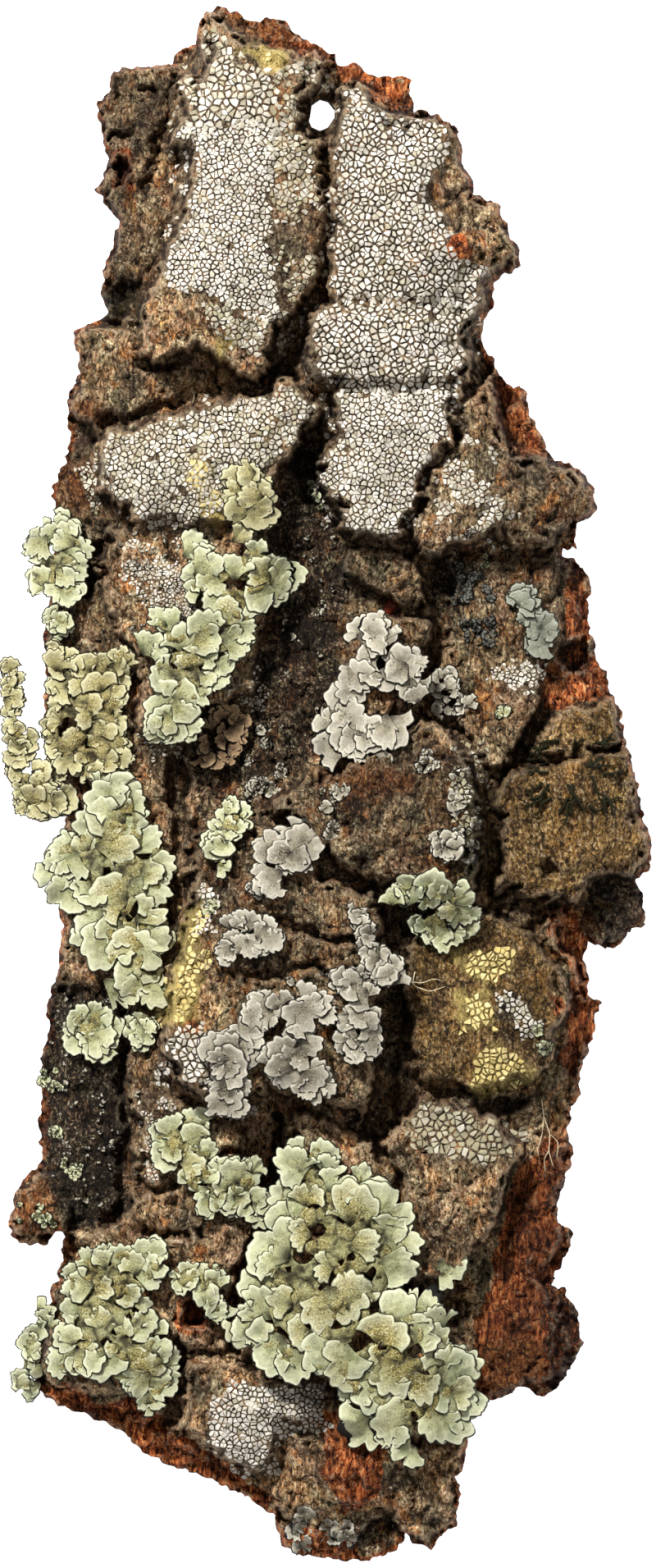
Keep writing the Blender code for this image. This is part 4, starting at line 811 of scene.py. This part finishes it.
def areoles(outline, size, cover, tone, seed):
    """Closed tiles over a grid outline, with their tint, tone and nearness to their edge."""
    rng = np.random.default_rng(seed)
    edge = at(outline)
    seeds = hex_points(edge.min(axis=0) - 3 * size, edge.max(axis=0) + 3 * size, size * 0.93, rng)
    seeds += rng.uniform(-0.42, 0.42, seeds.shape) * size
    seeds = seeds[rng.uniform(size=len(seeds)) > 0.1]
    found = delaunay_2d_cdt(list(map(Vector, seeds)), [], [], 0, 1e-6)
    spots, triangles = np.array([tuple(p) for p in found[0]]), np.array(found[2])
    a, b, c = (spots[triangles[:, k]] for k in range(3))
    twice = 2 * ((b[:, 0] - a[:, 0]) * (c[:, 1] - a[:, 1]) - (b[:, 1] - a[:, 1]) * (c[:, 0] - a[:, 0]))
    bb, cc = ((b - a) ** 2).sum(axis=1), ((c - a) ** 2).sum(axis=1)
    ux = ((c[:, 1] - a[:, 1]) * bb - (b[:, 1] - a[:, 1]) * cc) / twice
    uy = ((b[:, 0] - a[:, 0]) * cc - (c[:, 0] - a[:, 0]) * bb) / twice
    centres = a + np.stack([ux, uy], axis=1)
    around = [[] for _ in spots]
    for number, triangle in enumerate(triangles):
        for corner in triangle:
            around[corner].append(number)
    depth = depth_inside(spots, edge)
    x, y = spots.T
    sway = 2.2 * grain(x, y, 6, seed + 1) + 1.1 * grain(x, y, 2.2, seed + 2)
    gaps = smooth(1.4 * grain(x, y, 4.5, seed + 3) + 0.4)
    chance = smooth((depth + sway) / 1.6 + 0.5) * (1.04 - (1 - cover) * 2 * gaps)
    kept = (rng.uniform(size=len(spots)) < chance) & (depth > -4)
    kept &= (tops.read(spots, slopes) < 4.5) & (depth_inside(spots, rim) > 0.8)
    bent = x + 0.8 * grain(x, y, 2.4, seed + 4), y + 0.8 * grain(x, y, 2.4, seed + 5)
    group = broken(*bent, FISSURE_SPACING * size, seed + 6)[1]
    fissured = (np.ptp(group[triangles], axis=1) > 0).astype(float)
    made, faces, marks = [], [], []
    for number in np.flatnonzero(kept):
        corners = centres[around[number]]
        order = np.argsort(np.arctan2(*(corners - spots[number]).T[::-1]))
        corners, wide = corners[order], fissured[around[number]][order]
        middle = corners.mean(axis=0)
        reach = np.hypot(*(corners - middle).T)
        if len(corners) < 4 or reach.max() > 1.6 * size:
            continue
        ring = corners
        if size > 1.4:
            between = (corners + np.roll(corners, -1, axis=0)) / 2
            ring = np.stack([middle + (corners - middle) * 0.9, between], axis=1).reshape(-1, 2)
            wide = np.stack([wide, (wide + np.roll(wide, -1)) / 2], axis=1).ravel()
        away = ring - middle
        length = np.hypot(*away.T)[:, None]
        gap = CRACK * rng.uniform(0.5, 1.7, (len(ring), 1)) + FISSURE * wide[:, None]
        ring = middle + away * np.maximum(length - gap, 0.25 * length) / length
        inner_ring = middle + (ring - middle) * 0.88
        spots_here = np.concatenate([ring, inner_ring, middle[None]])
        ground = heights_at(ground_tree, spots_here)
        if not np.isfinite(ground).all() or np.ptp(ground) > 2.6 * size:
            continue
        ground = 0.75 * ground + 0.25 * ground.mean()
        n = len(ring)
        rise = AREOLE_RISE * rng.uniform(0.5, 1.5) * (0.6 + 0.4 * size)
        lift = np.concatenate([np.full(n, 0.55 * rise), np.full(n, rise), [rise * rng.uniform(0.9, 1.3)]])
        first = len(made)
        made += np.column_stack([spots_here, ground + lift]).tolist()
        made += np.column_stack([ring, ground[:n] - 0.25]).tolist()
        tint = 0.6 * group[number] + 0.4 * rng.uniform()
        own = min(1, max(0, tone + 0.3 * rng.normal()))
        marks += [(tint, own, 0.0, 1.0)] * n + [(tint, own, 1.0, 1.0)] * (n + 1) + [(tint, own, 0.0, 1.0)] * n
        top, under = first + 2 * n, first + 2 * n + 1
        for k in range(n):
            m = (k + 1) % n
            faces.append((first + k, first + m, first + n + m))
            faces.append((first + k, first + n + m, first + n + k))
            faces.append((first + n + k, first + n + m, top))
            faces.append((under + m, first + m, first + k))
            faces.append((under + m, first + k, under + k))
        faces += [(under, under + k + 1, under + k) for k in range(1, n - 1)]
    return made, faces, marks


# Chalky crust is matt: white tiles are faintly cream and old ones grey-green, with dust in their
# pits, and the yellow ones are coloured by a pigment on the same chalky ground.
CRUST_TINTS = {
    # name of the crust: young tiles from dusty to clean, then old tiles from dusty to clean
    "white": (("#A0988A", "#BCB5A8", "#CBC5BA", "#DBD7CE"), ("#766D52", "#958D6E", "#A9A180")),
    "yellow": (("#BBA668", "#CDB97C", "#D6C388", "#DFCE98"), ("#A8934F", "#BFAB66", "#CCB976")),
}
chalks = {}
for name, (young, old) in CRUST_TINTS.items():
    chalk = bpy.data.materials.new("chalky " + name + " crust")
    chalk.use_nodes = True
    tree = chalk.node_tree
    shader = tree.nodes["Principled BSDF"]
    tint, age, top = mark(tree, "areole")[:3]
    dust = stretched_noise(tree, 0.5, 0.6, 4, 0.7)
    tinted = coated(tree, (tint, list(zip((0.0, 0.15, 0.6, 1.0), young))), [
        (0.9, age, (tint, list(zip((0.0, 0.6, 1.0), old)))),
        ((dust, [(0.36, 0.6), (0.47, 0.0)]), None, "#94805E"),
        # Painted shade: each tile's rim, where it slopes into the crack, is a little darker brown.
        ((top, [(0.0, 0.15), (0.5, 0.0)]), None, "#7A6A55"),
    ])
    tree.links.new(tinted, shader.inputs["Base Color"])
    shader.inputs["Roughness"].default_value = 0.95
    shader.inputs["Specular IOR Level"].default_value = 0.2
    pitted_dust = add(tree, "Bump", {"Height": dust, "Strength": 0.8, "Distance": 0.15 * MM})
    tree.links.new(pitted_dust.outputs[0], shader.inputs["Normal"])
    chalks[name] = chalk

patches_of_crust = [("white_crust_" + name, "white", *values) for name, values in WHITE_CRUST.items()]
patches_of_crust += [("yellow_crust_%d" % k, "yellow", 1.6, 1.0, 0.3, outline)
                     for k, outline in enumerate(YELLOW_CRUST)]
for number, (name, colour, size, cover, tone, outline) in enumerate(patches_of_crust):
    made, faces, marks = areoles(outline, size, cover, tone, 200 + 10 * number)
    if faces:
        crust = mesh_of(name, made, faces, chalks[colour], {"areole": marks}, False)
        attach(crust, "root")

# The leafy lichens: thin, leathery thalli of overlapping lobes, each rounded and notched at its
# tip, that grip the bark at their middles and lift at their edges.
LOBE_ROWS = 5
BLADE = 0.24  # a lobe's thickness, in mm
BLACK_UNDERSIDE_AND_SHADOW_RIM = 0.5  # how far a lobe's black lower side shows round it, in mm: partly its real dark rim, partly a painted shadow line under the edge
SHEET_STEP, SHEET = 0.8, 0.6  # spacing of a thallus's middle points and its thickness, in mm
LOBE_NET, LOBE_MARGIN = 0.6, 3  # spacing and margin of the net that reads a lichen's blade, in mm
LOBE_EASE = 1.6  # how far each way the blade's height is evened out under its lobes, in mm
LEAFY = {
    # node: kind of lichen, length of a lobe, how far tips lift, both in mm
    "green_lichen_upper_left": ("green", 7.6, 1.0),
    "green_lichen_upper_left_tail": ("green", 4.6, 0.6),
    "green_lichen_crown": ("olive", 6.4, 0.6),
    "green_lichen_middle": ("green", 7.6, 0.6),
    "green_lichen_left_upper": ("olive", 5.4, 0.6),
    "green_lichen_left_lower": ("green", 10.5, 1.0),
    "green_lichen_left_hanging": ("olive", 5.4, 0.8),
    "green_lichen_left_edge": ("green", 7.0, 0.8),
    "green_lichen_small_tongue": ("green", 5.2, 0.6),
    "green_lichen_lower_middle": ("green", 6.6, 0.7),
    "green_lichen_bottom_right": ("green", 11.0, 1.0),
    "green_lichen_bottom_left": ("green", 7.6, 0.8),
    "green_lichen_bottom_left_flap": ("green", 6.4, 0.9),
    "green_lichen_centre_tuft": ("green", 6.0, 0.9),
    "green_lichen_right_tuft": ("green", 7.2, 0.9),
    "green_lichen_low_tuft": ("green", 6.0, 0.8),
    "grey_lichen_centre": ("grey", 8.0, 0.9),
    "grey_lichen_centre_low": ("grey", 9.0, 0.8),
    "grey_lichen_knoll": ("grey", 8.4, 0.6),
    "grey_lichen_ledge": ("grey", 6.4, 0.7),
    "grey_lichen_dome_left": ("grey", 7.6, 0.8),
    "grey_lichen_dome_right": ("grey", 8.0, 0.8),
    "grey_lichen_dome_edge": ("grey", 6.4, 0.8),
    "grey_lichen_furrow_chips": ("grey", 5.0, 0.8),
    "grey_lichen_slope": ("grey", 3.8, 0.6),
    "blue_grey_lichen_right": ("blue_grey", 6.0, 0.4),
    "grey_squamules_right": ("grey", 3.4, 0.7),
    "umber_rosette": ("umber", 3.8, 0.4),
}
PALETTES = {
    # kind: painted shade between lobes, mealy middle, body of a lobe, its pale side, its very edge
    "green": ("#1E180A", "#8F8144", "#6E724B", "#A1A37B", "#CFCFB3"),
    "olive": ("#1C1508", "#8C7D46", "#6F673F", "#A0996B", "#CDC7A4"),
    "grey": ("#1E1811", "#6F644F", "#5C5544", "#918975", "#C9C3B3"),
    "blue_grey": ("#24261F", "#626250", "#6B6C5D", "#80816F", "#9C9C8C"),
    "umber": ("#120B05", "#3E2B19", "#54402A", "#7A6044", "#A08866"),
    "slate": ("#0B0A08", "#24231F", "#34332E", "#504F47", "#77756A"),
}


def thinned(spots, spacing, rng):
    """Indices of some of the spots, none nearer to another than spacing."""
    kept = []
    for k in rng.permutation(len(spots)):
        if all((spots[k][0] - spots[m][0]) ** 2 + (spots[k][1] - spots[m][1]) ** 2 > spacing ** 2
               for m in kept):
            kept.append(k)
    return kept


def lobe_blade(root, aim, length, lift, tier, age, seat, rng):
    """Points, faces and marks of one closed lobe that fans out from its root along aim."""
    across_count = 2 * round(1.5 * length) + 7
    t, s = np.meshgrid(np.linspace(0, 1, LOBE_ROWS) ** 0.75, np.linspace(-1, 1, across_count),
                       indexing="ij")
    spread, parts, scallops = rng.uniform(0.75, 1.4), rng.uniform(1.3, 2.8), rng.uniform(7, 12)
    turn, twist = rng.uniform(0, 6.28, 2)
    edge = 1 - rng.uniform(0.1, 0.5) * (1 - np.abs(np.cos(parts * s + turn))) ** 3.5 - 0.15 * s ** 4
    edge -= rng.uniform(0.05, 0.13) * (1 - np.abs(np.sin(scallops * s + twist))) ** 1.5
    edge += 0.06 * np.sin(4.1 * s + 2 * turn) + 0.03 * np.sin(17 * s + turn)
    reach = length * (0.08 + 0.92 * t) * (1 + (edge - 1) * t ** 1.5)
    angle = s * spread * (0.7 + 0.3 * t) + 0.35 * rng.uniform(-1, 1) * t
    side = np.array([-aim[1], aim[0]])

    def fan(reach, angle):
        across = (0.85 * reach * np.sin(angle))[..., None] * side
        return (root + (reach * np.cos(angle))[..., None] * aim + across).reshape(-1, 2)

    flat = fan(reach, angle)
    ground = seat(flat).reshape(t.shape)
    folds = 0.3 * np.cos(2 * (parts * s + turn)) * t + 0.14 * np.sin(scallops * s + twist) * t ** 3
    rolled = rng.uniform(-0.4, 0.5) * np.abs(s) ** 3 * t + lift * t ** 3
    wrinkle = 0.3 * grain(*flat.T, 2.6, 51).reshape(t.shape) + 0.12 * grain(*flat.T, 1.1, 52).reshape(t.shape)
    z = ground + tier + folds + rolled + wrinkle
    top = np.column_stack([flat, z.ravel()])
    # The black lower side reaches past the blade's tip and sides: partly its real dark rim, partly a painted
    # shadow line under the edge.
    wide = 1 + 1.2 * BLACK_UNDERSIDE_AND_SHADOW_RIM / (length * spread) * np.abs(s) ** 8
    under = np.column_stack([fan(reach + BLACK_UNDERSIDE_AND_SHADOW_RIM * t ** 8, angle * wide), z.ravel() - BLADE])
    rows, columns = t.shape
    index = np.arange(rows * columns).reshape(rows, columns)
    a, b, c, d = index[:-1, :-1], index[1:, :-1], index[1:, 1:], index[:-1, 1:]
    upper = np.concatenate([np.stack([a, b, c], -1).reshape(-1, 3), np.stack([a, c, d], -1).reshape(-1, 3)])
    loop = np.concatenate([index[0, :-1], index[:-1, -1], index[-1, :0:-1], index[:0:-1, 0]])
    n = rows * columns
    following = np.roll(loop, -1)
    sides = np.concatenate([np.stack([loop, following, following + n], -1),
                            np.stack([loop, following + n, loop + n], -1)])
    faces = np.concatenate([upper, upper[:, ::-1] + n, sides])
    tint = rng.uniform()
    margin = np.maximum(t, np.abs(s) ** 6 * (0.3 + 0.7 * t)).ravel()
    marks = np.column_stack([t.ravel(), np.full(n, tint), margin, np.full(n, age)])
    return np.concatenate([top, under]), faces, np.concatenate([marks, marks * (1, 1, 0, 0) - (0, 0, 0, 1)])


def thallus_middle(spots, level, rng):
    """The closed, wrinkled sheet that a thallus's lobes grow out of."""
    found = delaunay_2d_cdt(list(map(Vector, spots)), [], [], 0, 1e-6)
    plan, faces = np.array([tuple(point) for point in found[0]]), np.array(found[2])
    sides = [np.hypot(*(plan[faces[:, k]] - plan[faces[:, k - 1]]).T) for k in range(3)]
    faces = faces[np.max(sides, axis=0) < 2.2 * SHEET_STEP]
    x, y = plan.T
    wrinkles = 0.9 * np.abs(grain(x, y, 3.0, 53)) + 0.4 * grain(x, y, 1.6, 54) + 0.16 * grain(x, y, 0.9, 55)
    border, fold = broken(x + grain(x, y, 2, 56), y + grain(x, y, 2, 57), 4.2, 58)
    wrinkles += 0.7 * (fold - 0.5) - 0.7 * (1 - smooth(border / 0.4))
    z = level(plan) + wrinkles - 0.5
    n = len(plan)
    rim_here = np.array(rim_edges(faces))
    a, b = rim_here.T
    faces = np.concatenate([faces, faces[:, ::-1] + n, np.stack([b, a, a + n], -1),
                            np.stack([b, a + n, b + n], -1)])
    # Painted shade: the sheet's fold lines take the lobes' root mark, so they are painted dark as shade in
    # the creases.
    marks = np.column_stack([0.4 * smooth(border / 0.7), rng.uniform(0.3, 0.7, n), np.full(n, 0.4),
                             np.ones(n)])
    top = np.column_stack([plan, z])
    return np.concatenate([top, top - (0, 0, SHEET)]), faces, np.concatenate([marks, marks])


def joined(pieces):
    """The points, faces and marks of several pieces as one mesh's."""
    made, faces, marks = map(list, zip(*pieces))
    firsts = np.cumsum([0] + [len(points) for points in made])
    return np.concatenate(made), np.concatenate([f + k for f, k in zip(faces, firsts)]), np.concatenate(marks)


lichen_materials = {}
for kind_name, (shade, meal_colour, body, pale_part, edge_colour) in PALETTES.items():
    # Dry lichen cortex: leathery and matt, mottled, with a paler rolled edge and a mealy middle.
    leaf = bpy.data.materials.new(kind_name.replace("_", " ") + " lichen cortex")
    leaf.use_nodes = True
    tree = leaf.node_tree
    shader = tree.nodes["Principled BSDF"]
    along_part, tint_part, margin_part, age_part = mark(tree, "lobe")
    mottle = stretched_noise(tree, 2.2, 2.2, 5, 0.6)
    meal = stretched_noise(tree, 0.45, 0.45, 3, 0.7)
    patch = stretched_noise(tree, 8, 8, 3, 0.5)
    under_side = add(tree, "Math", {0: age_part, 1: -1.0}, operation="MULTIPLY").outputs[0]
    mealy = (meal, [(0.38, shade), (0.46, meal_colour), (0.56, meal_colour), (0.64, edge_colour)])
    skin_colour = coated(tree, (mottle, [(0.4, body), (0.58, pale_part)]), [
        (0.5, tint_part, pale_part),
        ((patch, [(0.36, 0.35), (0.6, 1.0)]), age_part, mealy),
        ((meal, [(0.36, 0.8), (0.42, 0.0)]), None, shade),
        ((margin_part, [(0.5, 0.0), (0.9, 0.35), (0.99, 0.8)]), None, edge_colour),
        # Painted shade at each lobe's root, where it lies under the lobes round it.
        ((along_part, [(0.0, 0.95), (0.3, 0.25), (0.5, 0.0)]), None, shade),
        ((under_side, [(0.15, 0.0), (0.5, 1.0)]), None, "#0E0B07"),
    ])
    tree.links.new(skin_colour, shader.inputs["Base Color"])
    shader.inputs["Roughness"].default_value = 0.8
    shader.inputs["Specular IOR Level"].default_value = 0.3
    grit = add(tree, "Math", {0: age_part, 1: 0.5, 2: 0.15}, operation="MULTIPLY_ADD").outputs[0]
    swell = add(tree, "Math", {0: mottle, 1: 0.8}, operation="MULTIPLY").outputs[0]
    granules = add(tree, "Math", {0: meal, 1: grit, 2: swell}, operation="MULTIPLY_ADD").outputs[0]
    raised = add(tree, "Bump", {"Height": granules, "Strength": 0.9, "Distance": 0.45 * MM})
    tree.links.new(raised.outputs[0], shader.inputs["Normal"])
    lichen_materials[kind_name] = leaf

for number, (name, (kind_name, length, lift)) in enumerate(LEAFY.items()):
    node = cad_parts[name]
    rng = np.random.default_rng(400 + number)
    low, high = [np.array(corner)[:2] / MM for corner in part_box(name)]
    node_tree = tree_of(node)
    sheet_top = net_over(node_tree, low - LOBE_MARGIN, high + LOBE_MARGIN, LOBE_NET)
    level = sheet_top.blurred(LOBE_EASE)

    def seat(spots):
        return sheet_top.read(spots, level)

    edge_spots, edge_aims = [], []
    for face in node.data.polygons:
        if abs(face.normal.z) < 0.02:
            corner = max((node.data.vertices[k].co for k in face.vertices), key=lambda co: co.z)
            edge_spots.append((corner.x / MM, corner.y / MM))
            edge_aims.append((face.normal.x, face.normal.y))
    edge_spots, edge_aims = np.array(edge_spots), np.array(edge_aims)
    candidates = hex_points(low, high, SHEET_STEP, rng)
    candidates = candidates[np.isfinite(heights_at(node_tree, candidates))]
    to_edge = np.array([np.hypot(*(edge_spots - spot).T).min() for spot in candidates])
    gaps = grain(*candidates.T, 2.6, 60) + 0.5 * grain(*candidates.T, 1.4, 61)
    middle_spots = candidates[(to_edge > 0.2 * length) & (gaps < 0.5)]
    whole = kind_name in ("green", "olive") and len(middle_spots) > 12
    pieces = [thallus_middle(middle_spots, seat, rng)] if whole else []
    for k in thinned(edge_spots, 0.4 * length, rng):
        close = np.hypot(*(edge_spots - edge_spots[k]).T) < 0.6 * length
        aim = edge_aims[close].mean(axis=0) + 0.25 * rng.normal(size=2)
        aim /= math.hypot(*aim) + 1e-9
        reach = length * rng.uniform(0.55, 1.1)
        pieces.append(lobe_blade(edge_spots[k] + (0.4 - reach) * aim, aim, reach,
                                 lift * (0.2 + 1.2 * rng.uniform() ** 3), rng.uniform(-0.5, 0.0),
                                 rng.uniform(0, 0.3), seat, rng))
    inner = candidates[to_edge > 0.3 * length]
    depths = to_edge[to_edge > 0.3 * length]
    for k in thinned(inner, (0.72 if kind_name == "grey" else 0.9) * length, rng):
        nearest = np.argmin(np.hypot(*(edge_spots - inner[k]).T))
        aim = edge_spots[nearest] - inner[k]
        aim /= math.hypot(*aim) + 1e-9
        aim = aim + 0.45 * rng.normal(size=2)
        aim /= math.hypot(*aim) + 1e-9
        reach = length * rng.uniform(0.5, 1.15)
        pieces.append(lobe_blade(inner[k] - 0.7 * aim * reach, aim, reach,
                                 lift * (0.1 + rng.uniform() ** 3), rng.uniform(-0.2, 0.3),
                                 min(1, depths[k] / 6), seat, rng))
    made, faces, marks = joined(pieces)
    thallus = mesh_of(name + "_lobes", made, faces, lichen_materials[kind_name], {"lobe": marks})
    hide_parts(name)
    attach(thallus, "root")

# The smallest lichens: scales, young rosettes and tufts a few millimetres across, which grow on
# the bark between the large thalli, and a few dry flakes of bark at the bottom end.
SMALL_LICHENS = {
    # name: kind, length of a lobe in mm, number of tufts, lobes in a tuft, grid outlines
    "rosettes_valley": ("grey", 2.4, 22, 4, [[(298, 884), (345, 880), (345, 972), (302, 975)]]),
    "specks_plate_right": ("slate", 1.5, 70, 2, [
        [(546, 690), (584, 686), (604, 740), (604, 790), (572, 785), (556, 740)]]),
    "scales_dome_side": ("grey", 3.4, 13, 2, [
        [(548, 905), (580, 920), (590, 980), (578, 1050), (546, 1040), (552, 970)]]),
    "scales_dome_top": ("grey", 2.6, 9, 2, [
        [(390, 955), (430, 960), (436, 1005), (400, 1015)],
        [(336, 1182), (410, 1180), (412, 1225), (340, 1226)],
        [(296, 1076), (330, 1080), (326, 1110), (298, 1106)]]),
    "scales_shelf_edge": ("grey", 2.2, 10, 2, [[(480, 918), (530, 915), (534, 936), (486, 944)]]),
    "tufts": ("green", 2.4, 3, 3, [
        [(582, 676), (598, 676), (598, 690), (582, 690)], [(602, 858), (620, 858), (620, 874), (602, 874)],
        [(656, 1256), (676, 1258), (676, 1278), (656, 1276)],
        [(366, 588), (404, 592), (402, 622), (370, 616)],
        [(252, 1100), (268, 1100), (268, 1116), (252, 1116)]]),
    "scales_dark_strip": ("green", 1.9, 9, 3, [
        [(50, 1300), (78, 1305), (76, 1335), (50, 1330)], [(45, 1375), (72, 1380), (70, 1405), (46, 1404)],
        [(58, 1408), (102, 1412), (100, 1438), (60, 1436)],
        [(20, 1466), (60, 1460), (66, 1500), (24, 1508)]]),
    "specks_dark_strip": ("grey", 1.0, 90, 1, [
        [(60, 1212), (148, 1218), (150, 1478), (84, 1490), (56, 1420)]]),
    "specks_valley": ("grey", 1.0, 45, 1, [[(330, 600), (400, 560), (410, 700), (390, 900), (330, 920)]]),
    "specks_plate_left": ("grey", 1.1, 40, 1, [[(150, 640), (300, 690), (320, 860), (180, 900), (140, 760)]]),
    "flakes_bottom": ("grey", 4.6, 9, 2, [[(356, 1852), (436, 1848), (440, 1882), (360, 1888)]]),
}


def bark_seat(spots):
    """Height of the finished bark under each spot, or the spots' mean where there is none."""
    found = heights_at(ground_tree, spots)
    return np.where(np.isfinite(found), found, np.nanmean(found) if np.isfinite(found).any() else 0)


for number, (name, (kind_name, length, tufts, lobes, outlines)) in enumerate(SMALL_LICHENS.items()):
    rng = np.random.default_rng(700 + number)
    pieces = []
    for outline in map(at, outlines):
        spots = rng.uniform(outline.min(axis=0), outline.max(axis=0), (40 * tufts, 2))
        clumps = grain(*spots.T, 4.0, 740 + number)
        spots = spots[(depth_inside(spots, outline) > 0) & (clumps > 0.35 * rng.uniform(-1, 1, len(spots)))]
        for spot in spots[:tufts]:
            if not np.isfinite(heights_at(ground_tree, spot[None]))[0]:
                continue
            size = length * (0.4 + 0.8 * rng.uniform() ** 2)
            for turn in rng.uniform(0, 6.28) + np.arange(lobes) * 6.28 / lobes:
                aim = np.array([math.cos(turn), math.sin(turn)])
                pieces.append(lobe_blade(spot - 0.2 * size * aim, aim, size * rng.uniform(0.6, 1.1),
                                         rng.uniform(0, 0.3), rng.uniform(0.1, 0.35), rng.uniform(0, 0.6),
                                         bark_seat, rng))
    made, faces, marks = joined(pieces)
    small = mesh_of(name, made, faces, lichen_materials[kind_name], {"lobe": marks})
    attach(small, "root")

# Rootlets and moss: dry, pale roots caught on the bark, and dark shoots of moss that creep over
# the right-hand plate. Each is a thin, tapering strand that lies on the bark.
ROOTLETS = [
    # thickness and rise off the bark in mm, and the grid squares that it passes
    (0.34, 1.2, [(496, 1188), (506, 1202), (524, 1208), (543, 1202)]),
    (0.3, 0.8, [(500, 1196), (514, 1198), (530, 1192), (540, 1196)]),
    (0.28, 0.6, [(506, 1184), (503, 1196), (512, 1210)]),
    (0.32, 0.8, [(661, 1340), (664, 1362), (672, 1384), (670, 1404), (676, 1426)]),
    (0.28, 0.6, [(664, 1362), (662, 1384), (656, 1402), (660, 1424)]),
    (0.28, 0.6, [(672, 1384), (682, 1394), (680, 1412)]),
    (0.26, 0.6, [(670, 1404), (664, 1414), (666, 1430)]),
    (0.34, 0.8, [(232, 474), (238, 482), (234, 492)]),
    (0.26, 0.8, [(236, 862), (226, 872), (230, 884)]),
]
MOSS_CENTRE, MOSS_SPREAD = (696, 942), (44, 40)  # middle of the moss and how far it spreads, in squares
MOSS_SHOOTS = 30
SHOOT, BRANCH, MOSS_RISE = 0.9, 0.65, 0.4  # thickness of each and their rise off the bark, in mm
STRAND_SIDES = 5


def strand(squares, thickness, rise):
    """Points and faces of a thin closed strand over the bark, which tapers to its end."""
    corners = at(squares)
    along = np.concatenate([[0], np.cumsum(np.hypot(*np.diff(corners, axis=0).T))])
    stops = np.linspace(0, along[-1], max(4, int(along[-1] / 0.6)))
    path = np.stack([np.interp(stops, along, corners[:, k]) for k in (0, 1)], axis=1)
    path[1:-1] = (path[:-2] + 2 * path[1:-1] + path[2:]) / 4
    share = stops / along[-1]
    z = bark_seat(path) + thickness / 2 + rise * np.sin(math.pi * share)
    z[1:-1] = np.maximum(z[1:-1], (z[:-2] + z[2:]) / 2)
    ahead = np.gradient(path, axis=0)
    side = np.stack([-ahead[:, 1], ahead[:, 0]], axis=1)
    side /= np.hypot(*side.T)[:, None] + 1e-9
    radius = thickness / 2 * (1 - 0.6 * share)
    points = []
    for turn in np.arange(STRAND_SIDES) * 2 * math.pi / STRAND_SIDES:
        ring = path + side * (radius * math.cos(turn))[:, None]
        points.append(np.column_stack([ring, z + radius * math.sin(turn)]))
    points = np.stack(points, axis=1).reshape(-1, 3)
    faces = []
    for k in range(len(path) - 1):
        for m in range(STRAND_SIDES):
            a, b = k * STRAND_SIDES + m, k * STRAND_SIDES + (m + 1) % STRAND_SIDES
            faces += [(a, a + STRAND_SIDES, b + STRAND_SIDES), (a, b + STRAND_SIDES, b)]
    last = (len(path) - 1) * STRAND_SIDES
    for m in range(1, STRAND_SIDES - 1):
        faces += [(0, m, m + 1), (last, last + m + 1, last + m)]
    return points, np.array(faces), np.zeros((len(points), 4))


def plain(name, colour, roughness):
    """A material of one colour, with almost no mirror in it unless it is smooth."""
    made = bpy.data.materials.new(name)
    made.use_nodes = True
    surface = made.node_tree.nodes["Principled BSDF"]
    surface.inputs["Base Color"].default_value = linear(colour)
    surface.inputs["Roughness"].default_value = roughness
    surface.inputs["Specular IOR Level"].default_value = 0.15
    return made


rng = np.random.default_rng(77)
shoots = []
for _ in range(MOSS_SHOOTS):
    start = np.array(MOSS_CENTRE) + rng.uniform(-1, 1, 2) * MOSS_SPREAD
    heading = math.atan2(*(start - MOSS_CENTRE)[::-1]) + 0.6 * rng.normal()
    squares = [start]
    for _ in range(4):
        heading += 0.35 * rng.normal()
        squares.append(squares[-1] + rng.uniform(5, 9) * np.array([math.cos(heading), math.sin(heading)]))
    shoots.append((SHOOT, MOSS_RISE, squares))
    for corner in squares[1:4]:
        branch = heading + rng.choice([-1, 1]) * rng.uniform(0.6, 1.2)
        tip = corner + rng.uniform(4, 9) * np.array([math.cos(branch), math.sin(branch)])
        shoots.append((BRANCH, MOSS_RISE, [corner, tip]))
# Dead root skin is dry and pale, and moss is dull and nearly black-green until it is wetted.
for name, strands, finish in (("rootlets", ROOTLETS, plain("dry root skin", "#CDBB98", 0.7)),
                              ("moss_shoots", shoots, plain("dry moss", "#191807", 0.85))):
    made, faces, _ = joined([strand(squares, thick, rise) for thick, rise, squares in strands])
    tangle = mesh_of(name, made, faces, finish)
    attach(tangle, "root")

# A bud scale: the shiny, pointed, red-brown husk of a bud, wedged in the furrow by the grey
# lichen.
BUD_SQUARE = (475, 741)
BUD_SIZE = (2.5, 1.5, 1.3)  # half its length, width and height, in mm
BUD_TURN = 1.05  # how far its point turns from the +X axis, in radians
BUD_LIFT = 0.8  # height of its middle over the bark, in mm
BUD_SIDES, BUD_RINGS = 16, 13
around, rings_along = np.meshgrid(np.linspace(0, 2 * math.pi, BUD_SIDES, endpoint=False),
                                  np.linspace(0, math.pi, BUD_RINGS), indexing="xy")
girth = np.sin(rings_along) * (1 - 0.35 * np.cos(rings_along))
bud_points = np.stack([BUD_SIZE[0] * -np.cos(rings_along), BUD_SIZE[1] * girth * np.cos(around),
                       BUD_SIZE[2] * girth * np.sin(around)], axis=-1).reshape(-1, 3)
turned = bud_points.copy()
turned[:, 0] = bud_points[:, 0] * math.cos(BUD_TURN) - bud_points[:, 1] * math.sin(BUD_TURN)
turned[:, 1] = bud_points[:, 0] * math.sin(BUD_TURN) + bud_points[:, 1] * math.cos(BUD_TURN)
place_of_bud = at(BUD_SQUARE)
turned += (*place_of_bud[0], bark_seat(place_of_bud)[0] + BUD_LIFT)
bud_faces = []
for k in range(BUD_RINGS - 1):
    for m in range(BUD_SIDES):
        a, b = BUD_SIDES * k + m, BUD_SIDES * k + (m + 1) % BUD_SIDES
        bud_faces += [(a, b, b + BUD_SIDES, a + BUD_SIDES)]
# Bud husk: smooth and varnished by its resin, so it shows a small, sharp highlight.
bud = mesh_of("bud", turned, bud_faces, plain("resinous bud husk", "#5A2413", 0.28))
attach(bud, "root")
